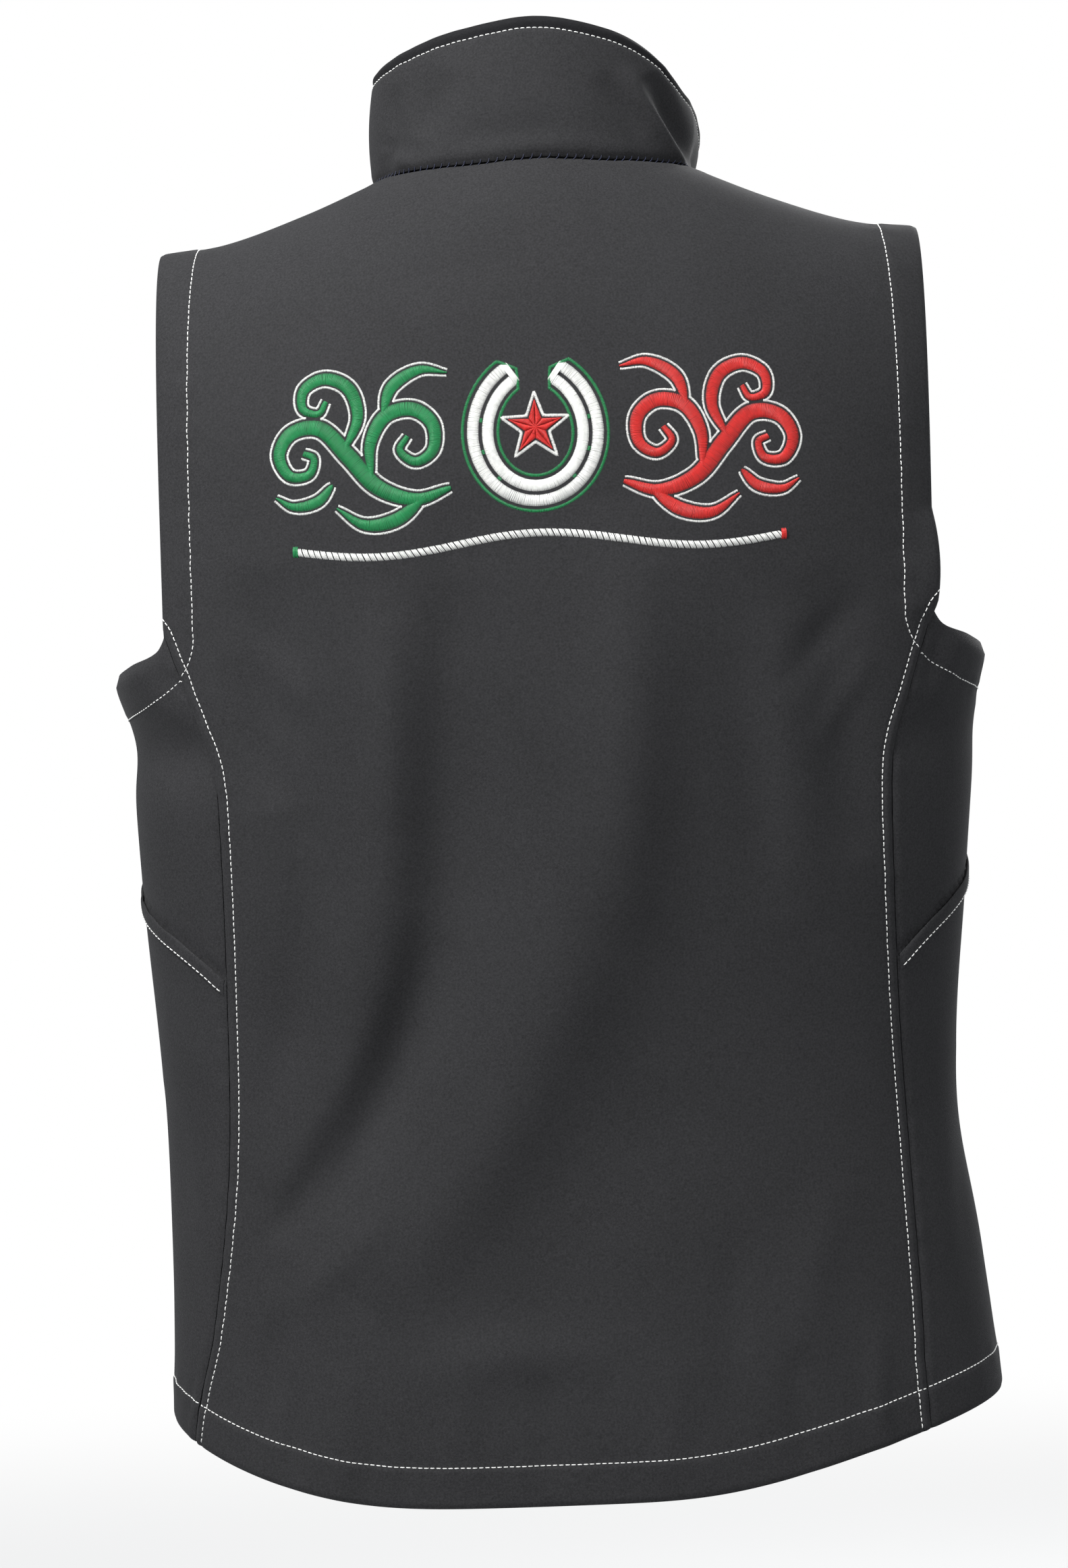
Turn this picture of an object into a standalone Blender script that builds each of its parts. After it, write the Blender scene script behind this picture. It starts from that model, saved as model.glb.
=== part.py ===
# Western vest in its worn form: cloth panels hung on a general figure, zip closed to the upper chest.
# Metres, +Z up. The zip faces -Y and the back panel faces +Y. The origin lies between the shoulders,
# at the height of the neck seam.

import math

import bmesh
import bpy
from mathutils import Matrix, Vector

PART_NAME = "western_vest"

# Cloth and seams
BODY_WALL = 0.002
COLLAR_WALL = 0.003
WELT_WALL = 0.0012
TAPE_WALL = 0.001
SEAM_GAP = 0.0004
SHOULDER_SEAM_GAP = 0.0011
LAY_GAP = 0.0003
TAPE_GAP = 0.0007

# Body form: rings below the chest level, arched slices over the shoulders above it
CHEST_LEVEL = -0.25
RING_POWER = 2.4
BACK_SLICE_POWER = 2.6
FRONT_SLICE_POWER = 2.0
SIDE_LEAN = 0.0136

GIRTH_COLUMNS = ("height", "left", "right", "back", "front")
GIRTH = [
    (-0.250, 0.2410, 0.2410, 0.122, 0.124),
    (-0.310, 0.2375, 0.2385, 0.121, 0.123),
    (-0.400, 0.2334, 0.2299, 0.114, 0.121),
    (-0.510, 0.2261, 0.2206, 0.106, 0.121),
    (-0.610, 0.2250, 0.2311, 0.110, 0.122),
    (-0.690, 0.2270, 0.2390, 0.116, 0.121),
    (-0.740, 0.2280, 0.2420, 0.117, 0.120),
]

SHOULDER_COLUMNS = ("across", "height")
SHOULDER = [
    (0.0000, 0.0240),
    (0.0460, 0.0150),
    (0.0800, 0.0035),
    (0.0925, -0.0020),
    (0.1300, -0.0175),
    (0.1750, -0.0320),
    (0.2125, -0.0366),
]

# Back seams: half their distance, and how far their middle swings to the left lower down
SEAM_COLUMNS = ("height", "half", "swing")
SEAM = [
    (-0.250, 0.2117, 0.0000),
    (-0.298, 0.1957, 0.0000),
    (-0.327, 0.1863, 0.0000),
    (-0.360, 0.1838, 0.0000),
    (-0.460, 0.1840, 0.0000),
    (-0.550, 0.1871, 0.0000),
    (-0.636, 0.1945, 0.0044),
    (-0.673, 0.1992, 0.0088),
    (-0.730, 0.2055, 0.0120),
]

# Hem, armholes, neck and shoulder seam
HEM_SIDE = -0.688
HEM_BACK_DROP = 0.042
HEM_FRONT_DROP = 0.016
HEM_POWER_LEFT = 9.0
HEM_POWER_RIGHT = 4.8
ARMHOLE_HALF = 0.2117
ARMHOLE_TIP = 0.2110
ARMHOLE_DIP = 0.026
ARMHOLE_SCOOP = 0.013
NECK_HALF = 0.0925
NECK_BACK = 0.065
NECK_FRONT = 0.098
NECK_END_ANGLE = 161.0
NECK_COLUMN_BASE = 0.104
SHOULDER_SEAM_Y = -0.020

# Main folds: a bent line from top to bottom across the back or the front, its half width and height
FOLD_COLUMNS = ("side", "x1", "z1", "x2", "z2", "x3", "z3", "width", "height")
FOLDS = [
    ("back", 0.050, -0.240, 0.076, -0.420, 0.166, -0.566, 0.022, -0.0075),
    ("back", 0.106, -0.220, 0.119, -0.385, 0.147, -0.545, 0.019, 0.0060),
    ("back", -0.039, -0.190, -0.005, -0.370, 0.112, -0.600, 0.034, 0.0070),
    ("back", -0.060, -0.230, -0.055, -0.360, -0.050, -0.500, 0.040, -0.0040),
    ("back", -0.150, -0.230, -0.157, -0.310, -0.164, -0.390, 0.017, -0.0040),
    ("back", 0.152, -0.220, 0.158, -0.285, 0.150, -0.350, 0.020, -0.0050),
    ("back", -0.020, -0.655, 0.030, -0.640, 0.090, -0.662, 0.015, 0.0030),
    ("front", 0.150, -0.120, 0.115, -0.250, 0.120, -0.400, 0.024, -0.0050),
    ("front", -0.160, -0.120, -0.120, -0.270, -0.100, -0.430, 0.026, -0.0055),
    ("front", 0.070, -0.200, 0.085, -0.370, 0.060, -0.560, 0.026, 0.0055),
    ("front", -0.060, -0.260, -0.080, -0.420, -0.130, -0.600, 0.028, 0.0060),
    ("front", 0.120, -0.450, 0.100, -0.560, 0.050, -0.650, 0.022, -0.0050),
]
FOLD_STEPS = 24
FOLD_SIDE_FADE = 0.035

# Collar: how far its top stands outward of the neck seam, and its height, by angle from centre back
COLLAR_COLUMNS = ("angle", "left_lean", "left_height", "right_lean", "right_height")
COLLAR = [
    (0, -0.010, 0.0800, -0.010, 0.0800),
    (30, -0.008, 0.0745, -0.009, 0.0745),
    (60, -0.007, 0.0655, -0.013, 0.0600),
    (90, -0.002, 0.0630, -0.011, 0.0510),
    (110, 0.000, 0.0620, 0.006, 0.0470),
    (130, 0.004, 0.0630, 0.026, 0.0480),
    (161, 0.008, 0.0640, 0.033, 0.0520),
]
COLLAR_ROLL = 0.003

# Grid counts
NECK_STEPS = 8
SHOULDER_STEPS = 6
FRONT_NECK_STEPS = 5
SIDE_STEPS = 8
LOWER_ROWS = 14
UPPER_ROWS = 9
COLLAR_HALF_STEPS = NECK_STEPS + FRONT_NECK_STEPS
COLLAR_ROWS = 5

# Zip
ZIP_EDGE = 0.0065
ZIP_TAPE_IN = 0.004
ZIP_TAPE_OUT = 0.010
SLIDER_ROW = LOWER_ROWS + 5
SLIDER = {"width": 0.010, "length": 0.014, "front": 0.0014, "back": 0.0010, "web": 0.0034}
FOOT = {"width": 0.009, "length": 0.009, "front": 0.0014, "back": 0.0010, "web": 0.0034}
EYE_HEIGHT = 0.0020
EYE_RADIUS = 0.0013
EYE_RIM = 0.0011
EYE_WIDTH = 0.0024
PULL = {"half": 0.0032, "top": 0.0007, "length": 0.024, "slot": 0.0016, "slot_end": 0.0055, "thick": 0.0014}

# Pockets: welt line on the front panel from the back seam forward
POCKET_LOW = -0.4400
POCKET_RISE_PER_STEP = 0.0100
POCKET_STEPS = 7.6
WELT_WIDTH = 0.0095


def column(names, rows, name):
    place = names.index(name)
    return [row[place] for row in rows]


def smooth(places, values, at, level_start=False):
    """Cubic curve through the rows of a table; level_start flattens it at the first row."""
    if places[0] > places[-1]:
        places = [-p for p in places]
        at = -at
    last = len(places) - 1
    slopes = []
    for i in range(len(places)):
        low = max(i - 1, 0)
        high = min(i + 1, last)
        slopes.append((values[high] - values[low]) / (places[high] - places[low]))
    if level_start:
        slopes[0] = 0.0
    if at <= places[0]:
        return values[0] + slopes[0] * (at - places[0])
    if at >= places[last]:
        return values[last] + slopes[last] * (at - places[last])
    i = max(k for k in range(last) if places[k] <= at)
    span = places[i + 1] - places[i]
    t = (at - places[i]) / span
    start = (2 * t**3 - 3 * t**2 + 1) * values[i] + (t**3 - 2 * t**2 + t) * span * slopes[i]
    end = (3 * t**2 - 2 * t**3) * values[i + 1] + (t**3 - t**2) * span * slopes[i + 1]
    return start + end


def blend(a, b, t):
    return a + (b - a) * t


def girth(z, name):
    heights = column(GIRTH_COLUMNS, GIRTH, "height")
    return smooth(heights, column(GIRTH_COLUMNS, GIRTH, name), z, level_start=True)


def half_width(x, z):
    return girth(z, "left" if x >= 0 else "right")


def ring_depth(x, z, side):
    """Distance of the ring at height z from the middle plane, at x across."""
    share = min(abs(x) / half_width(x, z), 1.0)
    return girth(z, side) * (1 - share**RING_POWER) ** (1 / RING_POWER)


def ring_point(angle, z):
    """Point of the ring at height z; angle in radians from centre back towards +X."""
    across = math.sin(angle)
    along = math.cos(angle)
    depth = girth(z, "back" if along >= 0 else "front")
    reach = (abs(along) / depth) ** RING_POWER + (abs(across) / half_width(across, z)) ** RING_POWER
    radius = reach ** (-1 / RING_POWER)
    return Vector((radius * across, radius * along, z))


def slice_point(x, turn):
    """Point over the shoulder at x across; turn runs from 0 at the back chest to pi at the front."""
    rise = smooth(column(SHOULDER_COLUMNS, SHOULDER, "across"),
                  column(SHOULDER_COLUMNS, SHOULDER, "height"), abs(x), level_start=True) - CHEST_LEVEL
    back = math.cos(turn) >= 0
    power = BACK_SLICE_POWER if back else FRONT_SLICE_POWER
    depth = ring_depth(x, CHEST_LEVEL, "back" if back else "front")
    y = depth * abs(math.cos(turn)) ** (2 / power)
    z = CHEST_LEVEL + rise * abs(math.sin(turn)) ** (2 / power)
    return Vector((x - SIDE_LEAN * (z - CHEST_LEVEL), y if back else -y, z))


def turn_at(x, y):
    """Turn of the slice at x where it is y from the middle plane."""
    if y >= 0:
        return math.acos((y / ring_depth(x, CHEST_LEVEL, "back")) ** (BACK_SLICE_POWER / 2))
    return math.pi - math.acos((-y / ring_depth(x, CHEST_LEVEL, "front")) ** (FRONT_SLICE_POWER / 2))


def seam_x(z, sign):
    heights = column(SEAM_COLUMNS, SEAM, "height")
    half = smooth(heights, column(SEAM_COLUMNS, SEAM, "half"), z)
    swing = smooth(heights, column(SEAM_COLUMNS, SEAM, "swing"), z, level_start=True)
    return sign * half + swing


def hem_height(angle):
    """Height of the hem; it runs nearly level across the middle and rises fast towards the sides."""
    drop = HEM_BACK_DROP if math.cos(angle) > 0 else HEM_FRONT_DROP
    power = HEM_POWER_LEFT if math.sin(angle) >= 0 else HEM_POWER_RIGHT
    return HEM_SIDE - drop * (1 - abs(math.sin(angle)) ** power)


def neck_plan(degrees):
    """Plan of the neck seam; degrees from centre back towards +X."""
    angle = math.radians(degrees)
    along = math.cos(angle)
    return NECK_HALF * math.sin(angle), along * (NECK_BACK if along > 0 else NECK_FRONT)


def fold_lines():
    """Each fold as its points from top to bottom, with its width and height."""
    lines = []
    for row in FOLDS:
        fold = dict(zip(FOLD_COLUMNS, row))
        points = []
        for k in range(FOLD_STEPS + 1):
            t = k / FOLD_STEPS
            a, b, c = (1 - t) ** 2, 2 * t * (1 - t), t**2
            points.append((a * fold["x1"] + b * fold["x2"] + c * fold["x3"],
                           a * fold["z1"] + b * fold["z2"] + c * fold["z3"],
                           math.sin(math.pi * t) ** 0.6 if 0 < t < 1 else 0.0))
        lines.append((fold, points))
    return lines


FOLD_LINES = fold_lines()


def relief(point):
    """How far the folds lift the cloth at this point of the plain form."""
    total = 0.0
    for fold, points in FOLD_LINES:
        facing = point.y if fold["side"] == "back" else -point.y
        fade = min(max(facing / FOLD_SIDE_FADE, 0.0), 1.0)
        if fade == 0.0:
            continue
        strength = max(math.exp(-((point.x - x) ** 2 + (point.z - z) ** 2) / fold["width"] ** 2) * taper
                       for x, z, taper in points)
        total += fold["height"] * strength * fade * fade * (3 - 2 * fade)
    return total


def fold_out(plain, outward):
    return plain + outward * relief(plain)


def outward_of(place, u, v, hint):
    """Unit normal of a surface function at (u, v), on the side of hint."""
    step = 1e-4
    along = place(u + step, v) - place(u - step, v)
    up = place(u, v + step) - place(u, v - step)
    normal = along.cross(up).normalized()
    return normal if normal.dot(hint) > 0 else -normal


def lower_point(angle, z):
    plain = ring_point(angle, z)
    return fold_out(plain, outward_of(ring_point, angle, z, Vector((plain.x, plain.y, 0))))


def upper_point(x, turn):
    plain = slice_point(x, turn)
    hint = Vector((0, math.cos(turn), math.sin(turn)))
    bounded = min(max(turn, 0.002), math.pi - 0.002)
    return fold_out(plain, outward_of(slice_point, x, bounded, hint))


def angle_on_ring(x, z, side):
    y = ring_depth(x, z, side)
    return math.atan2(x, y if side == "back" else -y)


def back_bases():
    """Across place of each back column at chest level, from the middle outward."""
    inner = [NECK_COLUMN_BASE * i / NECK_STEPS for i in range(NECK_STEPS + 1)]
    outer = [blend(NECK_COLUMN_BASE, ARMHOLE_HALF, i / SHOULDER_STEPS) for i in range(1, SHOULDER_STEPS + 1)]
    return inner + outer


def shoulder_angle():
    """Angle of the neck plan where the shoulder seam meets it."""
    return math.degrees(math.acos(SHOULDER_SEAM_Y / NECK_FRONT))


def back_top(step, sign):
    """Across place and turn of the top end of a back column."""
    if step <= NECK_STEPS:
        x, y = neck_plan(shoulder_angle() * step / NECK_STEPS)
    else:
        start = neck_plan(shoulder_angle())[0]
        x = blend(start, ARMHOLE_TIP, (step - NECK_STEPS) / SHOULDER_STEPS)
        y = SHOULDER_SEAM_Y
    gap = SEAM_GAP if step < NECK_STEPS else SHOULDER_SEAM_GAP
    return sign * x, turn_at(sign * x, y + gap / 2)


def back_point(i, j):
    """Point of the back panel; columns run from the right armhole to the left one."""
    half = NECK_STEPS + SHOULDER_STEPS
    step = abs(i - half)
    sign = 1 if i >= half else -1
    base = back_bases()[step]
    if j <= LOWER_ROWS:
        share = base / ARMHOLE_HALF
        z = CHEST_LEVEL
        for _ in range(3):
            edge = abs(seam_x(z, sign)) - SEAM_GAP / 2
            x = sign * share * edge
            z = blend(hem_height(angle_on_ring(x, z, "back")), CHEST_LEVEL, j / LOWER_ROWS)
        return lower_point(angle_on_ring(x, z, "back"), z)
    t = (j - LOWER_ROWS) / UPPER_ROWS
    top_x, top_turn = back_top(step, sign)
    edge_trim = SEAM_GAP / 2 * base / ARMHOLE_HALF
    return upper_point(blend(sign * (base - edge_trim), top_x, t * t), top_turn * t)


def zip_edge(row):
    """Distance of a front edge from the middle plane, opening above the slider."""
    start = SLIDER_ROW + 1
    opened = max(row - start, 0) / (LOWER_ROWS + UPPER_ROWS - start)
    return blend(ZIP_EDGE, neck_plan(NECK_END_ANGLE)[0], opened)


def front_base(i):
    """Share of the way from the zip edge to the armhole line at chest level."""
    inner = (NECK_HALF - ZIP_EDGE) / (ARMHOLE_HALF - ZIP_EDGE)
    if i <= FRONT_NECK_STEPS:
        return inner * i / FRONT_NECK_STEPS
    return blend(inner, 1.0, (i - FRONT_NECK_STEPS) / SHOULDER_STEPS)


def front_top(i):
    """Plan place of the top end of a front column: neck seam first, then shoulder seam."""
    if i <= FRONT_NECK_STEPS:
        return neck_plan(blend(NECK_END_ANGLE, shoulder_angle(), i / FRONT_NECK_STEPS))
    start = neck_plan(shoulder_angle())[0]
    return blend(start, ARMHOLE_TIP, (i - FRONT_NECK_STEPS) / SHOULDER_STEPS), SHOULDER_SEAM_Y


def front_point(i, j, sign):
    """Point of a front panel; columns run from the zip round the side to the back seam."""
    line = FRONT_NECK_STEPS + SHOULDER_STEPS
    if j <= LOWER_ROWS:
        top = CHEST_LEVEL
        if i > line:
            u = (i - line) / SIDE_STEPS
            top -= ARMHOLE_DIP * math.sqrt(max(1 - (2 * u - 1) ** 2, 0.0))
        z = top
        for _ in range(3):
            scale = half_width(sign, z) / half_width(sign, CHEST_LEVEL)
            far = ARMHOLE_HALF * scale
            if i <= line:
                x = sign * blend(zip_edge(j), far, front_base(i))
                angle = angle_on_ring(x, z, "front")
            else:
                start = angle_on_ring(sign * far, z, "front")
                end = angle_on_ring(seam_x(z, sign) + sign * SEAM_GAP / 2, z, "back")
                angle = blend(start, end, (i - line) / SIDE_STEPS)
            z = blend(hem_height(angle), top, j / LOWER_ROWS)
        return lower_point(angle, z)
    t = (j - LOWER_ROWS) / UPPER_ROWS
    top_x, top_y = front_top(i)
    x = blend(blend(ZIP_EDGE, ARMHOLE_HALF, front_base(i)), top_x, t)
    if i < FRONT_NECK_STEPS:
        straight = blend(ZIP_EDGE, front_top(0)[0], t)
        x += (zip_edge(j) - straight) * (1 - i / FRONT_NECK_STEPS)
    else:
        x -= ARMHOLE_SCOOP * math.sin(math.pi * t) ** 2 * (i - FRONT_NECK_STEPS) / SHOULDER_STEPS
    gap = SEAM_GAP if i < FRONT_NECK_STEPS else SHOULDER_SEAM_GAP
    top_turn = turn_at(sign * top_x, top_y - gap / 2)
    return upper_point(sign * x, blend(math.pi, top_turn, t))


def collar_point(degrees, v):
    """Point of the collar; v runs from the neck seam to the top edge."""
    x, y = neck_plan(degrees)
    seam = slice_point(x, turn_at(x, y))
    side = "left" if degrees >= 0 else "right"
    angles = column(COLLAR_COLUMNS, COLLAR, "angle")
    lean = smooth(angles, column(COLLAR_COLUMNS, COLLAR, side + "_lean"), abs(degrees), level_start=True)
    height = smooth(angles, column(COLLAR_COLUMNS, COLLAR, side + "_height"), abs(degrees), level_start=True)
    outward = Vector((math.sin(math.radians(degrees)), math.cos(math.radians(degrees)), 0))
    push = lean * v + COLLAR_ROLL * 4 * v * (1 - v)
    rise = SEAM_GAP + height * v
    return seam + outward * push + Vector((-SIDE_LEAN * rise, 0, rise))


def collar_grid_point(i, j):
    """Point of the collar's grid, whose columns meet those of the panels below."""
    step = abs(i - COLLAR_HALF_STEPS)
    sign = 1 if i >= COLLAR_HALF_STEPS else -1
    if step <= NECK_STEPS:
        degrees = shoulder_angle() * step / NECK_STEPS
    else:
        degrees = blend(shoulder_angle(), NECK_END_ANGLE, (step - NECK_STEPS) / FRONT_NECK_STEPS)
    return collar_point(sign * degrees, j / COLLAR_ROWS)


def material(name, colour, roughness, metallic=0.0):
    made = bpy.data.materials.new(name)
    made.use_nodes = True
    shader = made.node_tree.nodes["Principled BSDF"]
    shader.inputs["Base Color"].default_value = (*colour, 1.0)
    shader.inputs["Roughness"].default_value = roughness
    shader.inputs["Metallic"].default_value = metallic
    made.diffuse_color = (*colour, 1.0)
    return made


def cloth_material(name):
    return material(name + "_softshell", (0.030, 0.030, 0.032), 0.85)


def tape_material(name):
    return material(name + "_woven", (0.015, 0.015, 0.016), 0.80)


def metal_material(name):
    return material(name + "_metal", (0.040, 0.040, 0.042), 0.35, 0.9)


def add_object(name, mesh, finish, parts):
    made = bpy.data.objects.new(name, mesh)
    made.data.materials.append(finish)
    made.data.shade_smooth()
    parts.objects.link(made)
    return made


def cloth(name, columns, rows, place, wall, outward, parts, finish, keep=None):
    """Open sheet from a grid, moved to its place, then given its wall on the inner side."""
    shape = bmesh.new()
    bmesh.ops.create_grid(shape, x_segments=columns, y_segments=rows, size=1.0)
    for vertex in shape.verts:
        i = round((vertex.co.x + 1) / 2 * columns)
        j = round((vertex.co.y + 1) / 2 * rows)
        vertex.co = (i, j, 0)
    if keep:
        dropped = [face for face in shape.faces
                   if not keep(math.floor(face.calc_center_median().x), math.floor(face.calc_center_median().y))]
        bmesh.ops.delete(shape, geom=dropped, context="FACES")
    for vertex in shape.verts:
        vertex.co = place(round(vertex.co.x), round(vertex.co.y))
    shape.normal_update()
    middle = shape.faces[:][len(shape.faces) // 2]
    if middle.normal.dot(outward(middle.calc_center_median())) < 0:
        bmesh.ops.reverse_faces(shape, faces=shape.faces[:])
    mesh = bpy.data.meshes.new(name)
    shape.to_mesh(mesh)
    shape.free()
    made = add_object(name, mesh, finish, parts)
    thick = made.modifiers.new("wall", "SOLIDIFY")
    thick.thickness = wall
    thick.offset = -1.0
    return made


def from_axis(centre):
    return Vector((centre.x, centre.y, 0))


def make_back(parts):
    columns = 2 * (NECK_STEPS + SHOULDER_STEPS)
    cloth("back_panel", columns, LOWER_ROWS + UPPER_ROWS, back_point, BODY_WALL, from_axis, parts,
          cloth_material("back_panel"))


def make_front(side, sign, parts):
    line = FRONT_NECK_STEPS + SHOULDER_STEPS
    name = "front_" + side
    cloth(name, line + SIDE_STEPS, LOWER_ROWS + UPPER_ROWS, lambda i, j: front_point(i, j, sign), BODY_WALL,
          from_axis, parts, cloth_material(name), keep=lambda i, j: j < LOWER_ROWS or i < line)


def make_collar(parts):
    cloth("collar", 2 * COLLAR_HALF_STEPS, COLLAR_ROWS, collar_grid_point, COLLAR_WALL, from_axis, parts,
          cloth_material("collar"))


def on_front(sign, column_place, row_place):
    """Point and outward normal of the faceted front panel at a fractional column and row."""
    i = min(math.floor(column_place), FRONT_NECK_STEPS + SHOULDER_STEPS + SIDE_STEPS - 1)
    j = min(math.floor(row_place), LOWER_ROWS + UPPER_ROWS - 1)
    u = column_place - i
    v = row_place - j
    low = [front_point(i, j, sign), front_point(i + 1, j, sign)]
    high = [front_point(i, j + 1, sign), front_point(i + 1, j + 1, sign)]
    point = blend(blend(low[0], low[1], u), blend(high[0], high[1], u), v)
    normal = (low[1] - low[0] + high[1] - high[0]).cross(high[0] - low[0] + high[1] - low[1]).normalized()
    return point, normal if normal.dot(from_axis(point)) > 0 else -normal


def make_welt(side, sign, parts):
    """Pocket welt: a strip lying on the front panel, rising forward from the back seam."""
    last = FRONT_NECK_STEPS + SHOULDER_STEPS + SIDE_STEPS
    steps = math.ceil(POCKET_STEPS)
    name = "pocket_welt_" + side

    def place(i, j):
        across = min(i, POCKET_STEPS)
        column_place = last - max(across, 0.15)
        height = POCKET_LOW + POCKET_RISE_PER_STEP * across - WELT_WIDTH * (1 - j)
        whole = math.floor(column_place)
        row_place = 0.0
        for _ in range(12):
            point, normal = on_front(sign, column_place, row_place)
            gap = height - point.z
            row_place += gap / 0.032
        point, normal = on_front(sign, column_place, row_place)
        before = on_front(sign, max(column_place - 0.5, whole - 0.5), row_place)[1]
        after = on_front(sign, min(column_place + 0.5, last - 0.01), row_place)[1]
        return point + (before + after).normalized() * (LAY_GAP + WELT_WALL)

    cloth(name, steps, 1, place, WELT_WALL, from_axis, parts, cloth_material(name))


def make_tape(side, sign, parts):
    """Zip tape: a strip behind the front edge, from just above the hem to just below the collar top."""
    body_rows = [0.15] + list(range(1, LOWER_ROWS + UPPER_ROWS)) + [LOWER_ROWS + UPPER_ROWS - 0.3]
    collar_rows = [0.3] + list(range(1, COLLAR_ROWS)) + [COLLAR_ROWS - 0.1]
    count = len(body_rows) + len(collar_rows)
    collar_end = 2 * COLLAR_HALF_STEPS if sign > 0 else 0
    collar_next = collar_end - sign

    def edge_pair(row):
        """The front edge point, a unit step away from the zip, and the outward normal, at one row."""
        if row < len(body_rows):
            at = body_rows[row]
            edge, normal = on_front(sign, 0, at)
            return edge, (on_front(sign, 0.5, at)[0] - edge).normalized(), normal, BODY_WALL
        if row == len(body_rows):
            below = edge_pair(row - 1)
            above = edge_pair(row + 1)
            seam = on_front(sign, 0, LOWER_ROWS + UPPER_ROWS - 0.001)[0]
            return (seam, (below[1] + above[1]).normalized(), (below[2] + above[2]).normalized(),
                    COLLAR_WALL + TAPE_GAP)
        at = collar_rows[row - len(body_rows) - 1]
        low = math.floor(at)
        edge = blend(collar_grid_point(collar_end, low), collar_grid_point(collar_end, low + 1), at - low)
        inner = blend(collar_grid_point(collar_next, low), collar_grid_point(collar_next, low + 1), at - low)
        up = collar_grid_point(collar_end, low + 1) - collar_grid_point(collar_end, low)
        away = (inner - edge).normalized()
        normal = away.cross(up).normalized()
        return edge, away, normal if normal.dot(from_axis(edge)) > 0 else -normal, COLLAR_WALL

    def place(i, j):
        edge, away, normal, wall = edge_pair(j)
        return edge + away * blend(-ZIP_TAPE_IN, ZIP_TAPE_OUT, i / 2) - normal * (wall + TAPE_GAP)

    name = "zip_tape_" + side
    cloth(name, 2, count, place, TAPE_WALL, from_axis, parts, tape_material(name))


def flat_outline(name, outline, thickness, holes=()):
    """Flat plate from closed outlines in its own XY plane, centred through its thickness."""
    curve = bpy.data.curves.new(name, "CURVE")
    curve.dimensions = "2D"
    curve.fill_mode = "BOTH"
    curve.extrude = thickness / 2
    for points in (outline, *holes):
        spline = curve.splines.new("POLY")
        spline.points.add(len(points) - 1)
        for point, (x, y) in zip(spline.points, points):
            point.co = (x, y, 0, 1)
        spline.use_cyclic_u = True
    holder = bpy.data.objects.new(name, curve)
    bpy.context.scene.collection.objects.link(holder)
    bpy.context.view_layer.update()
    mesh = bpy.data.meshes.new_from_object(holder.evaluated_get(bpy.context.evaluated_depsgraph_get()))
    bpy.data.objects.remove(holder)
    shape = bmesh.new()
    shape.from_mesh(mesh)
    bmesh.ops.remove_doubles(shape, verts=shape.verts[:], dist=1e-6)
    bmesh.ops.recalc_face_normals(shape, faces=shape.faces[:])
    shape.to_mesh(mesh)
    shape.free()
    return mesh


def arc(centre, radius, start, end, steps):
    """Points on an arc, angles in degrees."""
    return [(centre[0] + radius * math.cos(math.radians(blend(start, end, k / steps))),
             centre[1] + radius * math.sin(math.radians(blend(start, end, k / steps))))
            for k in range(steps + 1)]


def zip_frame(row):
    """Frame on the zip's middle line, half way up a row: X across, Y inward, Z up along the zip."""
    left = [on_front(1, 0, row)[0], on_front(1, 0, row + 0.999)[0]]
    right = [on_front(-1, 0, row)[0], on_front(-1, 0, row + 0.999)[0]]
    low = (left[0] + right[0]) / 2
    high = (left[1] + right[1]) / 2
    up = high - low
    up.x = 0
    up.normalize()
    across = Vector((1, 0, 0))
    inward = up.cross(across)
    centre = (low + high) / 2
    frame = Matrix((across, inward, up)).transposed().to_4x4()
    frame.translation = centre
    return frame


def clamp_mesh(name, sizes):
    """Metal piece that holds both tapes: two plates and the web between them, an I in plan."""
    face = BODY_WALL + TAPE_GAP - LAY_GAP
    inner = BODY_WALL + TAPE_GAP + TAPE_WALL + LAY_GAP
    half = sizes["width"] / 2
    web = sizes["web"] / 2
    outline = [(-half, face - sizes["front"]), (half, face - sizes["front"]), (half, face), (web, face),
               (web, inner), (half, inner), (half, inner + sizes["back"]), (-half, inner + sizes["back"]),
               (-half, inner), (-web, inner), (-web, face), (-half, face)]
    return flat_outline(name, outline, sizes["length"])


def make_slider(parts):
    """Slider body with the eye that carries the pull."""
    frame = zip_frame(SLIDER_ROW)
    body = add_object("zip_slider", clamp_mesh("zip_slider", SLIDER), metal_material("zip_slider"), parts)
    body.matrix_world = frame
    outer = EYE_RADIUS + EYE_RIM
    foot = BODY_WALL + TAPE_GAP - LAY_GAP - SLIDER["front"] + 0.0003
    outline = arc((0, -EYE_HEIGHT), outer, 180, 360, 10) + [(outer, foot), (-outer, foot)]
    hole = arc((0, -EYE_HEIGHT), EYE_RADIUS, 0, 330, 11)
    eye_mesh = flat_outline("slider_eye", outline, EYE_WIDTH, [hole])
    for vertex in eye_mesh.vertices:
        along, inward, across = vertex.co
        vertex.co = (across, inward, along)
    eye_mesh.flip_normals()
    eye = bpy.data.objects.new("slider_eye", eye_mesh)
    eye.hide_render = True
    eye.display_type = "WIRE"
    eye.matrix_world = frame
    cutters = bpy.data.collections.new("cutters")
    bpy.context.scene.collection.children.link(cutters)
    cutters.objects.link(eye)
    join = body.modifiers.new("eye", "BOOLEAN")
    join.operation = "UNION"
    join.object = eye
    join.use_self = True
    return frame


def make_foot(parts):
    """Small block that joins the tapes above the hem."""
    foot = add_object("zip_foot", clamp_mesh("zip_foot", FOOT), metal_material("zip_foot"), parts)
    foot.matrix_world = zip_frame(0)


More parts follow.
